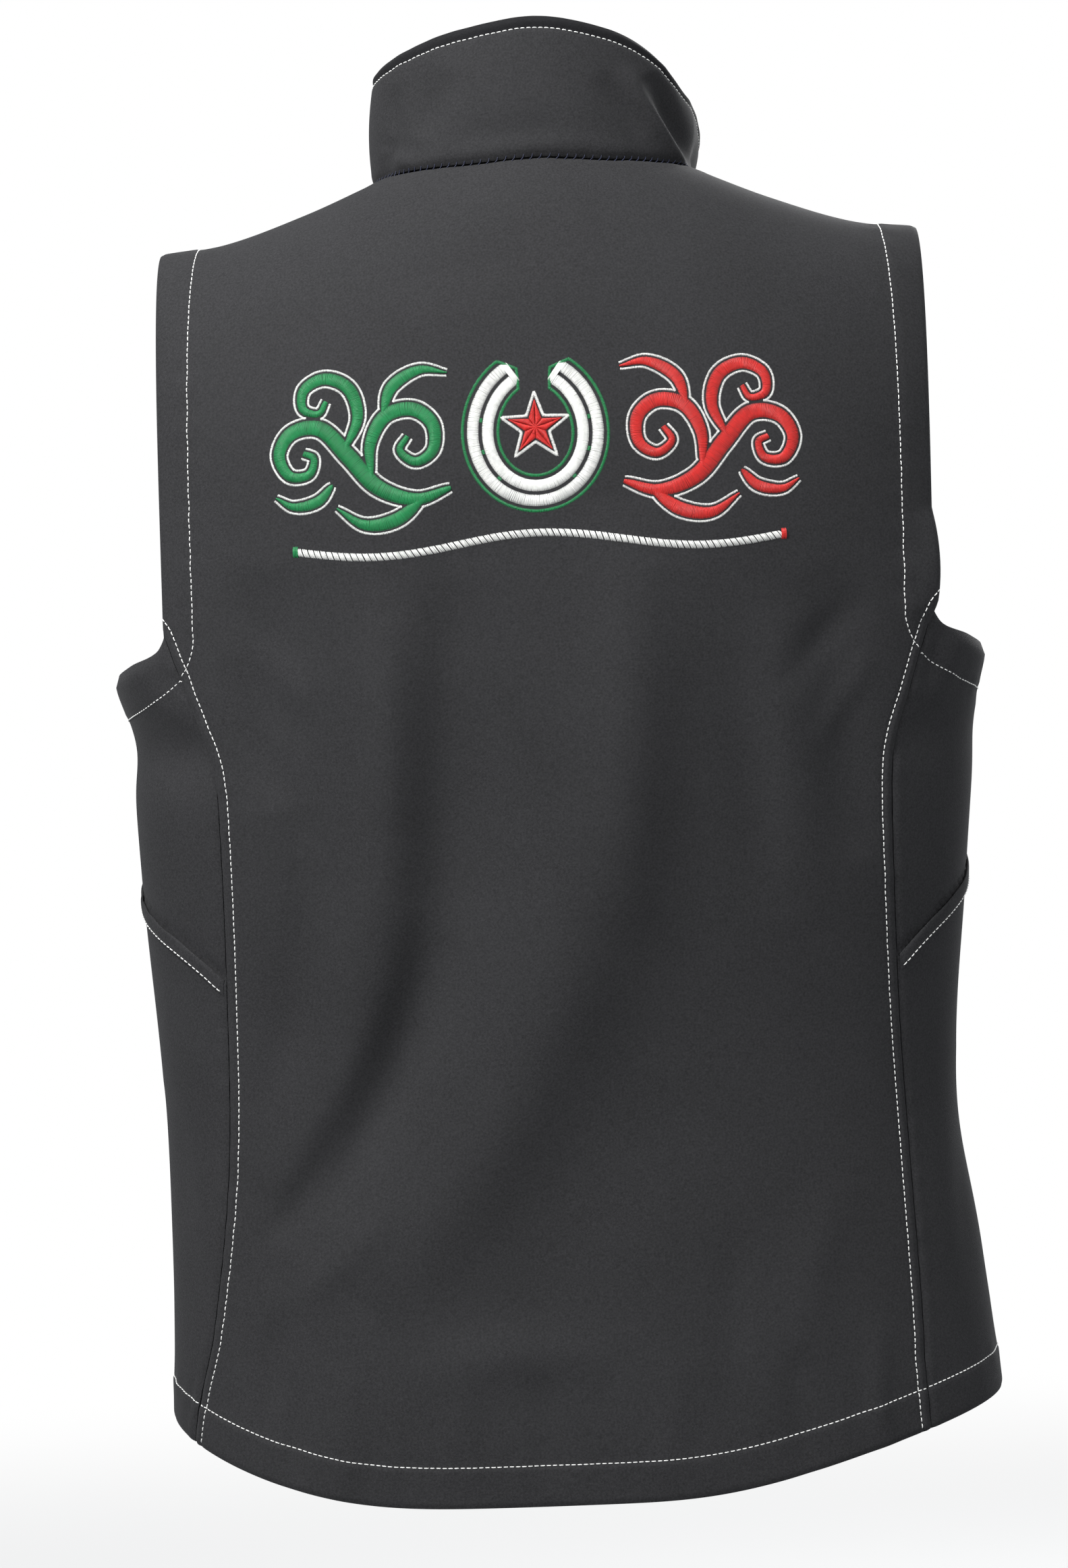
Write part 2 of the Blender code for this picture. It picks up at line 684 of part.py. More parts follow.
def make_pull(frame, parts):
    """Pull tab hanging on the slider's eye; its origin is the hinge axis, along X."""
    half, top, length = PULL["half"], PULL["top"], PULL["length"]
    round_low = arc((0, -length + half), half, 180, 360, 10)
    outline = round_low + [(half, top - 0.0006), (half - 0.0006, top), (-half + 0.0006, top), (-half, top - 0.0006)]
    slot = [(-PULL["slot"], -top), (PULL["slot"], -top), (PULL["slot"], -PULL["slot_end"]),
            (-PULL["slot"], -PULL["slot_end"])]
    mesh = flat_outline("zip_pull", outline, PULL["thick"], [slot])
    for vertex in mesh.vertices:
        across, along, inward = vertex.co
        vertex.co = (across, inward, along)
    mesh.flip_normals()
    pull = add_object("zip_pull", mesh, metal_material("zip_pull"), parts)
    pull.matrix_world = frame @ Matrix.Translation((0, -EYE_HEIGHT, 0))
    return pull


def main():
    for old in list(bpy.data.objects):
        bpy.data.objects.remove(old, do_unlink=True)
    parts = bpy.data.collections.new(PART_NAME)
    bpy.context.scene.collection.children.link(parts)
    make_back(parts)
    for side, sign in (("left", 1), ("right", -1)):
        make_front(side, sign, parts)
        make_welt(side, sign, parts)
        make_tape(side, sign, parts)
    make_collar(parts)
    frame = make_slider(parts)
    make_foot(parts)
    make_pull(frame, parts)


main()
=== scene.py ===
import math

import bmesh
import bpy
import numpy as np
from mathutils import Matrix, Vector


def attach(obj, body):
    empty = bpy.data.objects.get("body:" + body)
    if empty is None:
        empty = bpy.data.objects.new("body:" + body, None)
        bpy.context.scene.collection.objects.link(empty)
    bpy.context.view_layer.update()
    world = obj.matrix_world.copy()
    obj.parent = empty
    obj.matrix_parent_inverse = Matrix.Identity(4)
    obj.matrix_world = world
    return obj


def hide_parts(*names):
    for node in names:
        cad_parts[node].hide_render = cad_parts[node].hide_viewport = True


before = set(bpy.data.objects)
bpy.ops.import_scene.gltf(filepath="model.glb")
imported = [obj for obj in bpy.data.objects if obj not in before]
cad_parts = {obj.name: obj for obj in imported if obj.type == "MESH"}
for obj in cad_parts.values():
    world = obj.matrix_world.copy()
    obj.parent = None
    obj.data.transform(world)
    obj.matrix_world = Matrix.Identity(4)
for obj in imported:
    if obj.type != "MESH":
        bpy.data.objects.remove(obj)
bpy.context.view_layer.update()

scene = bpy.context.scene

# form of the worn vest, as the solids have it
form = {
    "chest": -0.25, "ringPower": 2.4, "backPower": 2.6, "frontPower": 2.0, "lean": 0.0136,
    "heights": [-0.250, -0.310, -0.400, -0.510, -0.610, -0.690, -0.740],
    "left": [0.2410, 0.2375, 0.2334, 0.2261, 0.2250, 0.2270, 0.2280],
    "right": [0.2410, 0.2385, 0.2299, 0.2206, 0.2311, 0.2390, 0.2420],
    "back": [0.122, 0.121, 0.114, 0.106, 0.110, 0.116, 0.117],
    "front": [0.124, 0.123, 0.121, 0.121, 0.122, 0.121, 0.120],
    "across": [0.0, 0.046, 0.080, 0.0925, 0.130, 0.175, 0.2125],
    "rise": [0.0240, 0.0150, 0.0035, -0.0020, -0.0175, -0.0320, -0.0366],
    "seamHeights": [-0.250, -0.298, -0.327, -0.360, -0.460, -0.550, -0.636, -0.673, -0.730],
    "seamHalf": [0.2117, 0.1957, 0.1863, 0.1838, 0.1840, 0.1871, 0.1945, 0.1992, 0.2055],
    "seamSwing": [0.0, 0.0, 0.0, 0.0, 0.0, 0.0, 0.0044, 0.0088, 0.0120],
    "hemSide": -0.688, "hemBackDrop": 0.042, "hemFrontDrop": 0.016, "hemPowerLeft": 9.0, "hemPowerRight": 4.8,
    "armholeHalf": 0.2117, "armholeTip": 0.2110, "armholeDip": 0.026, "armholeScoop": 0.013,
    "armholeBowLeft": 0.0016, "armholeBowRight": 0.0010,
    "neckHalf": 0.0925, "neckBack": 0.065, "neckFront": 0.098, "neckEnd": 161.0, "neckColumns": 0.104,
    "shoulderSeam": -0.020, "seamGap": 0.0004, "shoulderGap": 0.0011, "zipEdge": 0.0065, "sliderRow": 19,
    "collarAngles": [0, 30, 60, 90, 110, 130, 161],
    "collarLeftLean": [-0.010, -0.008, -0.007, -0.002, 0.000, 0.004, 0.008],
    "collarLeftHeight": [0.0802, 0.0765, 0.0678, 0.0636, 0.0622, 0.0630, 0.0640],
    "collarRightLean": [-0.010, -0.009, -0.0115, -0.0085, 0.006, 0.026, 0.033],
    "collarRightHeight": [0.0800, 0.0745, 0.0588, 0.0450, 0.0400, 0.0430, 0.0500],
    "collarRoll": 0.003,
}
neckSteps, shoulderSteps, frontNeckSteps, sideSteps, lowerRows, upperRows = 8, 6, 5, 8, 14, 9
backHalf = neckSteps + shoulderSteps
armLine = frontNeckSteps + shoulderSteps
collarHalf = neckSteps + frontNeckSteps
topRow = lowerRows + upperRows
upperEase = 1.3  # above the chest the solids' rows lie further apart at the chest than at the shoulder
rowRise = 0.032  # about the height of one row below the chest


def gridOf(u, v):
    return np.broadcast_arrays(np.asarray(u, float), np.asarray(v, float))


def lengthsAlong(points):
    return np.append(0, np.cumsum(np.linalg.norm(np.diff(points, axis=0), axis=1)))


def interpRows(at, reached, rows):
    return np.stack([np.interp(at, reached, column) for column in rows.T], -1)


def curveThrough(places, values, at, levelStart=False):
    # smooth curve through the values, going on straight beyond both ends
    places, values, at = np.array(places, float), np.array(values, float), np.asarray(at, float)
    if places[0] > places[-1]:
        places, at = -places, -at
    after = np.append(np.arange(1, len(places)), len(places) - 1)
    before = np.append(0, np.arange(len(places) - 1))
    slopes = (values[after] - values[before]) / (places[after] - places[before])
    if levelStart:
        slopes[0] = 0.0
    part = np.clip(np.searchsorted(places, at, side="right") - 1, 0, len(places) - 2)
    span = places[part + 1] - places[part]
    t = (at - places[part]) / span
    inside = ((2 * t**3 - 3 * t**2 + 1) * values[part] + (t**3 - 2 * t**2 + t) * span * slopes[part]
              + (3 * t**2 - 2 * t**3) * values[part + 1] + (t**3 - t**2) * span * slopes[part + 1])
    below = values[0] + slopes[0] * (at - places[0])
    above = values[-1] + slopes[-1] * (at - places[-1])
    return np.where(at <= places[0], below, np.where(at >= places[-1], above, inside))


def mix(a, b, t):
    return a + (b - a) * t


def fade(value, low, high):
    t = np.clip((value - low) / (high - low), 0.0, 1.0)
    return t * t * (3 - 2 * t)


def girth(z, name):
    return curveThrough(form["heights"], form[name], z, True)


def halfWidth(x, z):
    return np.where(np.asarray(x) >= 0, girth(z, "left"), girth(z, "right"))


def ringDepth(x, z, side):
    share = np.minimum(np.abs(x) / halfWidth(x, z), 1.0)
    return girth(z, side) * (1 - share ** form["ringPower"]) ** (1 / form["ringPower"])


def ringPoint(angle, z):
    across, along = np.sin(angle), np.cos(angle)
    depth = np.where(along >= 0, girth(z, "back"), girth(z, "front"))
    power = form["ringPower"]
    radius = ((np.abs(along) / depth) ** power + (np.abs(across) / halfWidth(across, z)) ** power) ** (-1 / power)
    return np.stack([radius * across, radius * along, z + 0 * radius], -1)


def slicePoint(x, turn):
    rise = curveThrough(form["across"], form["rise"], np.abs(x), True) - form["chest"]
    isBack = np.cos(turn) >= 0
    power = np.where(isBack, form["backPower"], form["frontPower"])
    depth = np.where(isBack, ringDepth(x, form["chest"], "back"), ringDepth(x, form["chest"], "front"))
    y = depth * np.abs(np.cos(turn)) ** (2 / power)
    z = form["chest"] + rise * np.abs(np.sin(turn)) ** (2 / power)
    return np.stack([x - form["lean"] * (z - form["chest"]), np.where(isBack, y, -y), z], -1)


def turnAt(x, y):
    backShare = np.clip(np.maximum(y, 0) / ringDepth(x, form["chest"], "back"), 0, 1)
    frontShare = np.clip(np.maximum(-y, 0) / ringDepth(x, form["chest"], "front"), 0, 1)
    return np.where(y >= 0, np.arccos(backShare ** (form["backPower"] / 2)),
                    math.pi - np.arccos(frontShare ** (form["frontPower"] / 2)))


def seamX(z, sign):
    half = curveThrough(form["seamHeights"], form["seamHalf"], z)
    return sign * half + curveThrough(form["seamHeights"], form["seamSwing"], z, True)


def hemHeight(angle):
    drop = np.where(np.cos(angle) > 0, form["hemBackDrop"], form["hemFrontDrop"])
    power = np.where(np.sin(angle) >= 0, form["hemPowerLeft"], form["hemPowerRight"])
    return form["hemSide"] - drop * (1 - np.abs(np.sin(angle)) ** power)


def neckPlan(degrees):
    angle = np.radians(degrees)
    along = np.cos(angle)
    return form["neckHalf"] * np.sin(angle), along * np.where(along > 0, form["neckBack"], form["neckFront"])


def angleOnRing(x, z, side):
    y = ringDepth(x, z, side)
    return np.arctan2(x, y if side == "back" else -y)


shoulderAngle = math.degrees(math.acos(form["shoulderSeam"] / form["neckFront"]))
backBases = ([form["neckColumns"] * i / neckSteps for i in range(neckSteps + 1)]
             + [mix(form["neckColumns"], form["armholeHalf"], i / shoulderSteps) for i in range(1, shoulderSteps + 1)])
shoulderStart = float(neckPlan(shoulderAngle)[0])


def backPlain(u, v):
    # u runs 0 to 28 from the right armhole to the left one, v 0 to 23 from the hem to the neck
    u, v = gridOf(u, v)
    step = np.clip(np.abs(u - backHalf), 0, backHalf)
    sign = np.where(u >= backHalf, 1.0, -1.0)
    base = np.interp(step, range(backHalf + 1), backBases)
    z = np.full(u.shape, form["chest"])
    for _ in range(3):
        x = sign * base / form["armholeHalf"] * (np.abs(seamX(z, sign)) - form["seamGap"] / 2)
        z = mix(hemHeight(angleOnRing(x, z, "back")), form["chest"], np.minimum(v, lowerRows) / lowerRows)
    low = ringPoint(angleOnRing(x, z, "back"), z)
    t = np.maximum(v - lowerRows, 0) / upperRows
    neckX, neckY = neckPlan(shoulderAngle * np.minimum(step, neckSteps) / neckSteps)
    past = np.maximum(step - neckSteps, 0) / shoulderSteps
    topX = sign * np.where(past > 0, mix(shoulderStart, form["armholeTip"], past), neckX)
    topY = np.where(past > 0, form["shoulderSeam"], neckY)
    gap = np.interp(step, [neckSteps - 0.5, neckSteps], [form["seamGap"], form["shoulderGap"]])
    trim = form["seamGap"] / 2 * base / form["armholeHalf"]
    bow = np.where(sign > 0, form["armholeBowLeft"], form["armholeBowRight"]) * (step / backHalf) ** 4
    x = mix(sign * (base - trim), topX, t * t) + sign * bow * np.sin(math.pi * t)
    high = slicePoint(x, turnAt(topX, topY + gap / 2) * t)
    return np.where((v <= lowerRows)[..., None], low, high)


def zipEdgeAt(v):
    start = form["sliderRow"] + 1
    return mix(form["zipEdge"], float(neckPlan(form["neckEnd"])[0]), np.maximum(v - start, 0) / (topRow - start))


def frontPlain(u, v, sign):
    # u runs 0 to 19 from the zip round the side to the back seam, v 0 to 23 from the hem to the neck
    u, v = gridOf(u, v)
    inner = (form["neckHalf"] - form["zipEdge"]) / (form["armholeHalf"] - form["zipEdge"])
    base = np.interp(u, [0, frontNeckSteps, armLine], [0, inner, 1.0])
    around = np.clip((u - armLine) / sideSteps, 0, 1)
    top = form["chest"] - form["armholeDip"] * np.sqrt(np.maximum(1 - (2 * around - 1) ** 2, 0)) * (u > armLine)
    z = top.copy()
    side = np.full(u.shape, float(sign))
    for _ in range(3):
        far = form["armholeHalf"] * halfWidth(side, z) / halfWidth(side, form["chest"])
        x = sign * mix(zipEdgeAt(v), far, base)
        start = angleOnRing(sign * far, z, "front")
        end = angleOnRing(seamX(z, sign) + sign * form["seamGap"] / 2, z, "back")
        angle = np.where(u <= armLine, angleOnRing(x, z, "front"), mix(start, end, around))
        z = mix(hemHeight(angle), top, np.minimum(v, lowerRows) / lowerRows)
    low = ringPoint(angle, z)
    t = np.maximum(v - lowerRows, 0) / upperRows
    neckX, neckY = neckPlan(mix(form["neckEnd"], shoulderAngle, np.minimum(u, frontNeckSteps) / frontNeckSteps))
    past = np.clip(u - frontNeckSteps, 0, shoulderSteps) / shoulderSteps
    topX = np.where(past > 0, mix(shoulderStart, form["armholeTip"], past), neckX)
    topY = np.where(past > 0, form["shoulderSeam"], neckY)
    x = mix(mix(form["zipEdge"], form["armholeHalf"], base), topX, t)
    straight = mix(form["zipEdge"], float(neckPlan(form["neckEnd"])[0]), t)
    x = x + (zipEdgeAt(v) - straight) * np.maximum(1 - u / frontNeckSteps, 0)
    x = x - form["armholeScoop"] * np.sin(math.pi * t) ** 2 * past
    gap = np.interp(u, [frontNeckSteps - 0.5, frontNeckSteps], [form["seamGap"], form["shoulderGap"]])
    high = slicePoint(sign * x, mix(math.pi, turnAt(sign * topX, topY - gap / 2), t))
    return np.where((v <= lowerRows)[..., None], low, high)


def frontForm(sign):
    return lambda u, v: frontPlain(u, v, sign)


def collarCurve(name, degrees):
    # the collar's lean or height round the neck, as the solids have it but without corners
    total = 0.0
    for shift, share in ((-18, 0.08), (-12, 0.17), (-6, 0.16), (0, 0.18), (6, 0.16), (12, 0.17), (18, 0.08)):
        at = np.clip(degrees + shift, -form["neckEnd"], form["neckEnd"])
        left = curveThrough(form["collarAngles"], form["collarLeft" + name], np.abs(at), True)
        right = curveThrough(form["collarAngles"], form["collarRight" + name], np.abs(at), True)
        total = total + share * np.where(at >= 0, left, right)
    return total


def collarPlain(u, v):
    # u runs 0 to 26 from the right end round the back to the left end, v 0 to 1 from the neck seam up
    u, v = gridOf(u, v)
    step = np.clip(np.abs(u - collarHalf), 0, collarHalf)
    sign = np.where(u >= collarHalf, 1.0, -1.0)
    degrees = np.where(step <= neckSteps, shoulderAngle * step / neckSteps,
                       mix(shoulderAngle, form["neckEnd"], (step - neckSteps) / frontNeckSteps))
    x, y = neckPlan(sign * degrees)
    seam = slicePoint(x, turnAt(x, y))
    lean, height = collarCurve("Lean", sign * degrees), collarCurve("Height", sign * degrees)
    angle = np.radians(sign * degrees)
    push = lean * v + form["collarRoll"] * 4 * v * (1 - v)
    rise = form["seamGap"] + height * v
    return seam + np.stack([np.sin(angle) * push - form["lean"] * rise, np.cos(angle) * push, rise], -1)


# folds, seams and edges of the cloth
# each fold: x1, z1, x2, z2, x3, z3, half width, height; the first four follow the solids' main ones
backFolds = [
    (0.044, -0.230, 0.042, -0.440, 0.158, -0.586, 0.024, -0.0062),
    (0.090, -0.230, 0.060, -0.420, 0.163, -0.562, 0.020, 0.0063),
    (-0.045, -0.190, -0.064, -0.430, 0.115, -0.618, 0.039, 0.0102),
    (-0.074, -0.230, -0.074, -0.360, -0.060, -0.500, 0.040, -0.0026),
    (-0.150, -0.230, -0.157, -0.310, -0.164, -0.390, 0.017, -0.0040),
    (0.152, -0.220, 0.158, -0.285, 0.150, -0.350, 0.020, -0.0050),
    (-0.020, -0.655, 0.030, -0.640, 0.090, -0.662, 0.015, 0.0030),
    (0.128, -0.520, 0.148, -0.575, 0.178, -0.590, 0.0075, -0.0014),
    (0.090, -0.560, 0.130, -0.612, 0.176, -0.628, 0.010, 0.0018),
    (0.150, -0.600, 0.164, -0.640, 0.170, -0.690, 0.009, -0.0016),
    (-0.118, -0.250, -0.128, -0.330, -0.134, -0.430, 0.016, 0.0022),
    (-0.020, -0.060, 0.030, -0.050, 0.085, -0.075, 0.014, -0.0012),
    (-0.175, -0.245, -0.150, -0.262, -0.120, -0.300, 0.009, -0.0020),
    (-0.178, -0.275, -0.160, -0.296, -0.142, -0.330, 0.007, 0.0014),
    (0.176, -0.250, 0.156, -0.270, 0.128, -0.300, 0.010, 0.0016),
    (0.172, -0.300, 0.150, -0.330, 0.132, -0.375, 0.008, -0.0014),
    (-0.150, -0.560, -0.130, -0.600, -0.118, -0.660, 0.014, 0.0020),
    (-0.092, -0.580, -0.080, -0.640, -0.084, -0.700, 0.012, -0.0015),
    (0.020, -0.660, 0.016, -0.690, 0.020, -0.722, 0.009, -0.0012),
    (0.060, -0.655, 0.066, -0.690, 0.060, -0.720, 0.009, 0.0012),
    (-0.050, -0.650, -0.052, -0.690, -0.046, -0.722, 0.010, 0.0012),
    (0.066, -0.420, 0.086, -0.520, 0.162, -0.586, 0.0120, -0.0026),
    (0.082, -0.400, 0.100, -0.490, 0.166, -0.566, 0.0100, 0.0022),
    (0.142, -0.290, 0.122, -0.420, 0.168, -0.520, 0.0140, -0.0028),
    (0.088, -0.245, 0.090, -0.305, 0.088, -0.365, 0.0120, 0.0024),
    (-0.012, -0.420, 0.016, -0.556, 0.120, -0.620, 0.0220, 0.0022),
    (0.052, -0.190, 0.054, -0.290, 0.080, -0.410, 0.0150, -0.0026),
    (-0.212, -0.200, -0.216, -0.232, -0.206, -0.262, 0.0120, 0.0055),
    (-0.046, -0.215, -0.044, -0.320, -0.034, -0.430, 0.0180, 0.0036),
    (-0.100, -0.270, -0.112, -0.350, -0.108, -0.420, 0.0150, -0.0020),
    (0.155, -0.655, 0.150, -0.690, 0.158, -0.722, 0.0070, -0.0018),
    (0.128, -0.650, 0.124, -0.690, 0.130, -0.728, 0.0080, 0.0018),
    (-0.120, -0.650, -0.116, -0.690, -0.124, -0.726, 0.0080, -0.0016),
    (-0.165, -0.640, -0.160, -0.680, -0.168, -0.720, 0.0070, 0.0018),
]
# short creases under the arms, on the part of each front that shows from behind
sideFolds = [
    (0.216, -0.280, 0.205, -0.272, 0.192, -0.292, 0.0045, -0.0016),
    (0.226, -0.290, 0.212, -0.285, 0.200, -0.310, 0.0045, 0.0012),
    (0.176, -0.314, 0.205, -0.322, 0.246, -0.310, 0.0180, -0.0062),
    (-0.214, -0.262, -0.209, -0.280, -0.203, -0.300, 0.0045, -0.0016),
    (-0.224, -0.270, -0.219, -0.290, -0.208, -0.312, 0.0050, 0.0012),
    (-0.182, -0.318, -0.205, -0.324, -0.240, -0.312, 0.0170, -0.0032),
    (0.222, -0.500, 0.208, -0.560, 0.214, -0.630, 0.0080, -0.0018),
    (-0.226, -0.500, -0.214, -0.570, -0.224, -0.640, 0.0080, -0.0018),
]
frontFolds = [
    (0.150, -0.120, 0.115, -0.250, 0.120, -0.400, 0.024, -0.0050),
    (-0.160, -0.120, -0.120, -0.270, -0.100, -0.430, 0.026, -0.0055),
    (0.070, -0.200, 0.085, -0.370, 0.060, -0.560, 0.026, 0.0055),
    (-0.060, -0.260, -0.080, -0.420, -0.130, -0.600, 0.028, 0.0060),
    (0.120, -0.450, 0.100, -0.560, 0.050, -0.650, 0.022, -0.0050),
    (0.188, -0.260, 0.160, -0.285, 0.120, -0.300, 0.010, -0.0020),
    (-0.188, -0.255, -0.150, -0.275, -0.118, -0.310, 0.011, -0.0022),
    (0.020, -0.560, 0.050, -0.590, 0.110, -0.600, 0.012, 0.0016),
    (-0.024, -0.300, -0.060, -0.330, -0.110, -0.330, 0.013, -0.0016),
    (-0.030, -0.640, -0.050, -0.660, -0.110, -0.655, 0.010, 0.0014),
    (0.034, -0.110, 0.070, -0.140, 0.110, -0.150, 0.012, -0.0014),
]


def distanceTo(points, line):
    # shortest way to a line of points, and how far along the line that is
    starts, steps = line[:-1], line[1:] - line[:-1]
    lengths = np.maximum((steps**2).sum(1), 1e-12)
    reached = np.append(0, np.cumsum(np.sqrt(lengths)))
    near, along = np.empty(len(points)), np.empty(len(points))
    for first in range(0, len(points), 4000):
        some = points[first:first + 4000]
        t = np.clip(((some[:, None] - starts) * steps).sum(2) / lengths, 0, 1)
        gap = np.sqrt(((some[:, None] - starts - t[..., None] * steps) ** 2).sum(2))
        best = gap.argmin(1)
        rows = np.arange(len(some))
        near[first:first + 4000] = gap[rows, best]
        along[first:first + 4000] = reached[best] + t[rows, best] * np.sqrt(lengths[best])
    return near, along


foldEdge = {"fade": 0.035, "taper": 0.8, "sideReach": -0.030, "collarReach": -0.050}


def foldLift(base, folds, facing, reach=0.0):
    # how far the folds lift the cloth outward at these points of the plain form
    total = np.zeros(len(base))
    shown = fade(base[:, 1] * facing, reach, reach + foldEdge["fade"])
    t = np.linspace(0, 1, 25)
    for x1, z1, x2, z2, x3, z3, width, height in folds:
        x = (1 - t) ** 2 * x1 + 2 * t * (1 - t) * x2 + t**2 * x3
        z = (1 - t) ** 2 * z1 + 2 * t * (1 - t) * z2 + t**2 * z3
        near, along = distanceTo(base[:, [0, 2]], np.stack([x, z], -1))
        share = np.clip(along / np.hypot(np.diff(x), np.diff(z)).sum(), 0, 1)
        taper = np.sin(math.pi * share) ** foldEdge["taper"]
        total += height * np.exp(-(near / width) ** 2) * taper
    return total * shown


def bump(distance, centre, width):
    return np.exp(-((distance - centre) / width) ** 2)


def ripple(along, seed):
    # uneven waves along a seam, about 12 to 20 mm long
    return (np.sin(along * 390 + seed + 2.1 * np.sin(along * 47 + seed)) * 0.6
            + np.sin(along * 251 + 1.7 * seed) * 0.4) * (0.6 + 0.4 * np.sin(along * 23 + 2.3 * seed))


seamStyle = {"stitchIn": 0.006, "roll": 0.0006, "rollWide": 0.0016, "puff": 0.0004, "puffAt": 0.0032,
             "puffWide": 0.0020, "valley": 0.0005, "valleyWide": 0.0011, "pucker": 0.00030, "puckerAt": 0.004,
             "puckerWide": 0.006}
plainSeam = {"puff": 0.0003, "puffAt": 0.0045, "puffWide": 0.0030, "puckerAt": 0.003}
bandStyle = {"stitchIn": 0.022, "raise": 0.0007, "full": 0.0005, "gone": 0.0025, "valley": 0.0006,
             "valleyWide": 0.0012, "roll": 0.0008, "rollWide": 0.0016, "pucker": 0.00045, "puckerWide": 0.009}


def seamLift(near, along, seed):
    # a seam with topstitching beside it
    style = seamStyle
    return (-style["roll"] * bump(near, 0, style["rollWide"])
            + style["puff"] * bump(near, style["puffAt"], style["puffWide"])
            - style["valley"] * bump(near, style["stitchIn"], style["valleyWide"])
            + style["pucker"] * ripple(along, seed) * bump(near, style["puckerAt"], style["puckerWide"]))


def plainSeamLift(near, along, seed):
    return (-seamStyle["roll"] * bump(near, 0, seamStyle["rollWide"])
            + plainSeam["puff"] * bump(near, plainSeam["puffAt"], plainSeam["puffWide"])
            + seamStyle["pucker"] * ripple(along, seed) * bump(near, plainSeam["puckerAt"], seamStyle["puckerWide"]))


def bandLift(near, along, seed):
    # a turned edge: a double band as far as its stitching, with the stitches sunk in
    style, stitch = bandStyle, bandStyle["stitchIn"]
    return (style["raise"] * (1 - fade(near, stitch - style["full"], stitch + style["gone"]))
            - style["valley"] * bump(near, stitch, style["valleyWide"])
            - style["roll"] * bump(near, 0, style["rollWide"])
            + style["pucker"] * ripple(along, seed) * bump(near, stitch, style["puckerWide"]))


def normalOf(plain, u, v):
    step = 1e-3
    across = plain(u + step, v) - plain(u - step, v)
    up = plain(u, v + step) - plain(u, v - step)
    normal = np.cross(across, up)
    return normal / np.maximum(np.linalg.norm(normal, axis=-1, keepdims=True), 1e-12)


def outwardSign(plain, u, v, facing):
    # 1 where the grid's own normals point out of the garment there, else -1
    return 1 if normalOf(plain, np.array([u]), np.array([v]))[0][1] * facing > 0 else -1


def surfaceOf(plain, lift, outward):
    # outward is 1 or -1, for a grid whose own normals point out or in
    def place(u, v, above=0.0):
        u, v = gridOf(u, v)
        base = plain(u, v)
        normal = normalOf(plain, u, v) * outward
        return base + normal * (lift(base) + above)[:, None], normal
    return place


rows = np.linspace(0, lowerRows, 141)
backSide = {sign: backPlain(backHalf + sign * backHalf, rows) for sign in (-1, 1)}
backArm = {sign: backPlain(backHalf + sign * backHalf, lowerRows + upperRows * np.linspace(0, 1, 90) ** upperEase)
           for sign in (-1, 1)}
frontArm = {sign: frontPlain(armLine, np.linspace(lowerRows, topRow, 90), sign) for sign in (-1, 1)}
sideArm = {sign: frontPlain(np.linspace(armLine, armLine + sideSteps, 90), lowerRows, sign) for sign in (-1, 1)}
armhole = {sign: np.concatenate([frontArm[sign][::-1], sideArm[sign], backArm[sign]]) for sign in (-1, 1)}
backHem = backPlain(np.linspace(0, 2 * backHalf, 160), 0)
backNeck = backPlain(np.linspace(backHalf - neckSteps, backHalf + neckSteps, 100), topRow)
backShoulder = {sign: backPlain(backHalf + sign * np.linspace(neckSteps, backHalf, 40), topRow) for sign in (-1, 1)}
frontHem = {sign: frontPlain(np.linspace(0, armLine + sideSteps, 160), 0, sign) for sign in (-1, 1)}
frontSeam = {sign: frontPlain(armLine + sideSteps, rows, sign) for sign in (-1, 1)}
frontNeck = {sign: frontPlain(np.linspace(0, frontNeckSteps, 50), topRow, sign) for sign in (-1, 1)}
frontShoulder = {sign: frontPlain(np.linspace(frontNeckSteps, armLine, 40), topRow, sign) for sign in (-1, 1)}
zipLine = {sign: frontPlain(0, np.linspace(0, topRow, 230), sign) for sign in (-1, 1)}


def backLift(base):
    total = foldLift(base, backFolds, 1)
    for sign in (-1, 1):
        total += seamLift(*distanceTo(base, backSide[sign]), 1.3 + sign) * fade(-base[:, 2], 0.245, 0.262)
        total += bandLift(*distanceTo(base, armhole[sign]), 3.1 + sign) * fade(base[:, 2], -0.290, -0.262)
        total += plainSeamLift(*distanceTo(base, backShoulder[sign]), 5 + sign)
    total += bandLift(*distanceTo(base, backHem), 0.7)
    return total + plainSeamLift(*distanceTo(base, backNeck), 2.2)


welt = {"low": -0.4440, "rise": 0.0078, "bow": 0.0185, "bowSteps": 1.3, "first": 0.06, "steps": 7.6,
        "width": 0.0095, "wall": 0.0012, "gap": 0.0003, "stitchUp": 0.0016, "slit": 0.0019, "slitWide": 0.0014,
        "slitUp": 0.0017, "crown": 0.0003, "wave": 0.0004, "waveLong": 0.13, "caught": 0.0014, "caughtReach": 0.045,
        "roundness": 0.00045, "flat": (0.135, 0.0100)}
# the armhole's band stands off a little under the arm, from this depth down and this far from the back seam
underArm = {"standOff": 0.0042, "reach": 0.016, "from": 0.235, "full": 0.262, "fromSeam": 0.035}


def rowAtHeight(sign, u, height):
    v = np.full(u.shape, 8.0)
    for _ in range(14):
        v = v + (height - frontPlain(u, v, sign)[..., 2]) / rowRise
    return v


def mouthHeight(across):
    return welt["low"] + welt["rise"] * across + welt["bow"] * (1 - np.exp(-across / welt["bowSteps"]))


def pocketMouth(sign):
    # line just above the welt, where the cloth dips into the pocket
    across = np.linspace(welt["first"], welt["steps"], 60)
    column = armLine + sideSteps - across
    return frontPlain(column, rowAtHeight(sign, column, mouthHeight(across) + welt["slitUp"]), sign)


mouthLine = {sign: pocketMouth(sign) for sign in (-1, 1)}


